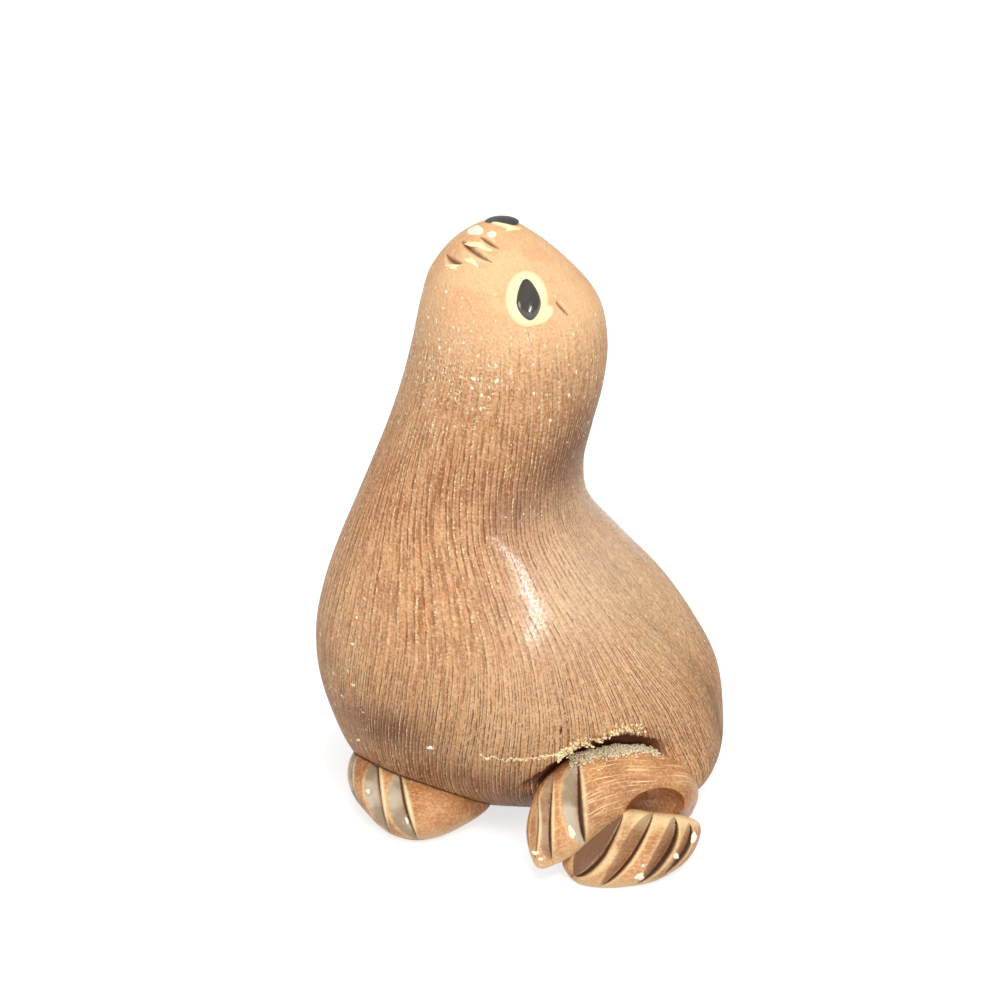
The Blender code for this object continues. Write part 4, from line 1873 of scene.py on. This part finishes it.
@dataclass
class Studio:
    """The pale floor, the soft lamps and the camera."""

    target: tuple[float, float, float] = (0.0, 0.0, 0.04905)
    distance: float = 0.345
    lens: float = 85.0
    shift: float = -0.025
    floor_half: float = 6.0
    floor_grey: float = 0.48
    floor_glow: float = 0.72
    sky_strength: float = 0.38
    lamps: tuple[Lamp, ...] = (
        Lamp("top", (0.10, -0.30, 0.75), (0.50, 0.40), 5.0, mirrored=False),
        Lamp("front", (0.265, -0.60, 0.200), (0.030, 0.30), 1.5, -44.0),
        Lamp("left", (-0.65, -0.35, 0.16), (0.35, 0.35), 1.5),
    )

    def floor(self) -> None:
        """Lays the white floor, which keeps the object's shadow."""
        shape = bmesh.new()
        bmesh.ops.create_grid(shape, x_segments=1, y_segments=1, size=self.floor_half)
        mesh = bpy.data.meshes.new("floor")
        shape.to_mesh(mesh)
        shape.free()
        finish = Finish("floor")
        grey = (self.floor_grey, self.floor_grey, self.floor_grey, 1.0)
        finish.dress(Base_Color=grey, Roughness=0.9, Emission_Color=(1.0, 1.0, 1.0, 1.0))
        w = finish.wiring
        seen = w.node("ShaderNodeLightPath").outputs
        reflected = w.math("MAXIMUM", seen["Is Glossy Ray"], seen["Is Transmission Ray"])
        looked_at = w.math("MAXIMUM", seen["Is Camera Ray"], reflected)
        finish.dress(Emission_Strength=w.product(looked_at, self.floor_glow))
        mesh.materials.append(finish.material)
        floor = bpy.data.objects.new("floor", mesh)
        bpy.context.scene.collection.objects.link(floor)

    def sky(self) -> None:
        """Sets the even light all round, which looks white to the camera."""
        world = bpy.data.worlds.new("studio")
        world.use_nodes = True
        bpy.context.scene.world = world
        w = Wiring(world.node_tree)
        background = world.node_tree.nodes["Background"]
        background.inputs["Color"].default_value = (1.0, 1.0, 1.0, 1.0)
        seen = w.node("ShaderNodeLightPath").outputs
        direct = w.math("MAXIMUM", seen["Is Camera Ray"], seen["Is Transmission Ray"])
        w.put(background.inputs["Strength"], w.scaled(direct, 1 - self.sky_strength, self.sky_strength))

    def camera(self) -> None:
        """Sets the camera at the photograph's angle."""
        data = bpy.data.cameras.new("camera")
        data.lens = self.lens
        data.shift_x = self.shift
        data.clip_start = 0.01
        camera = bpy.data.objects.new("camera", data)
        back = Vector((0.0, -math.cos(VIEW_RISE), math.sin(VIEW_RISE)))
        camera.location = Vector(self.target) + back * self.distance
        camera.rotation_euler = (-back).to_track_quat("-Z", "Y").to_euler()
        bpy.context.scene.collection.objects.link(camera)
        bpy.context.scene.camera = camera

    def build(self) -> None:
        """Builds the whole studio."""
        self.floor()
        self.sky()
        for lamp in self.lamps:
            lamp.hang(self.target)
        self.camera()
        bpy.context.scene.view_settings.view_transform = "Standard"


def main() -> None:
    """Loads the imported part, dresses it and reports each piece."""
    logging.basicConfig(level=logging.INFO, format="%(name)s: %(message)s")
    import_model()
    Studio().build()
    effects = Effects(comb_lines(), clay_grain())
    torso = Torso(BODY_SECTIONS, HAUNCH)
    clay = CarvedClay().made(effects)
    finish = {name: name.value.made(effects) for name in GlazeName}
    Hide(CombedHide().made(effects), torso).build()
    front = Tongue(FRONT_FLIPPER_RIBS)
    upper = Tongue(UPPER_HIND_RIBS)
    lower = Tongue(LOWER_HIND_RIBS)
    front_cuts = {"greys": (0.9, 0.9, 0.9), "browns": (0.0, 0.0, 0.0), "creased": True}
    upper_cuts = {"greys": (0.1, 0.5, 0.9), "browns": (0.2, 0.3, 0.0), "rim_strength": 0.75}
    # The lower flipper's first facet is painted with shade where it lies beside the upper flipper.
    lower_cuts = {"greys": (0.3, 0.0, 0.0, 0.0), "browns": (0.95, 0.55, 0.55, 0.45), "rim_strength": 0.60}
    flippers = (
        Flipper("left_front_flipper", front, FRONT_GOUGES, clay, torso, 0.2, **front_cuts),
        Flipper("right_front_flipper", front, FRONT_GOUGES, clay, torso, 0.2, **front_cuts, mirrored=True),
        Flipper("tail", Tongue(TAIL_RIBS), (), clay, torso, 0.8, rows=90, columns=80, hollow=True),
        Flipper("upper_hind_flipper", upper, UPPER_GOUGES, clay, torso, 1.0, **upper_cuts, hollow=True),
        Flipper("lower_hind_flipper", lower, LOWER_GOUGES, clay, torso, 0.3, **lower_cuts, top_edge=0.75),
    )
    for flipper in flippers:
        flipper.build()
    rims = tuple((torso, dab) for dab in EYE_RIM)
    slip = tuple((torso, dab) for dab in FACE_SLIP)
    chipped = ((torso, FACE_CHIPS), (upper, UPPER_CHIPS), (lower, LOWER_CHIPS), (front, FRONT_CHIPS))
    chips = tuple((form, dab) for form, dabs in chipped for dab in dabs)
    Dabs("eye_rims", finish[GlazeName.CREAM], rims, True).build()
    Dabs("eye_drops", finish[GlazeName.BLACK], ((torso, EYE_DROP),), True, sunk=0.0010).build()
    NoseCap(finish[GlazeName.NOSE]).build()
    Dabs("face_slip", finish[GlazeName.CREAM], slip, segments=24, rings=12, sunk=0.0003).build()
    Dabs("white_chips", finish[GlazeName.WHITE], chips, segments=20, rings=10, sunk=0.0003).build()
    Litter(torso, upper, finish[GlazeName.CRUMB], finish[GlazeName.DUST]).build()


if __name__ == "__main__":
    main()
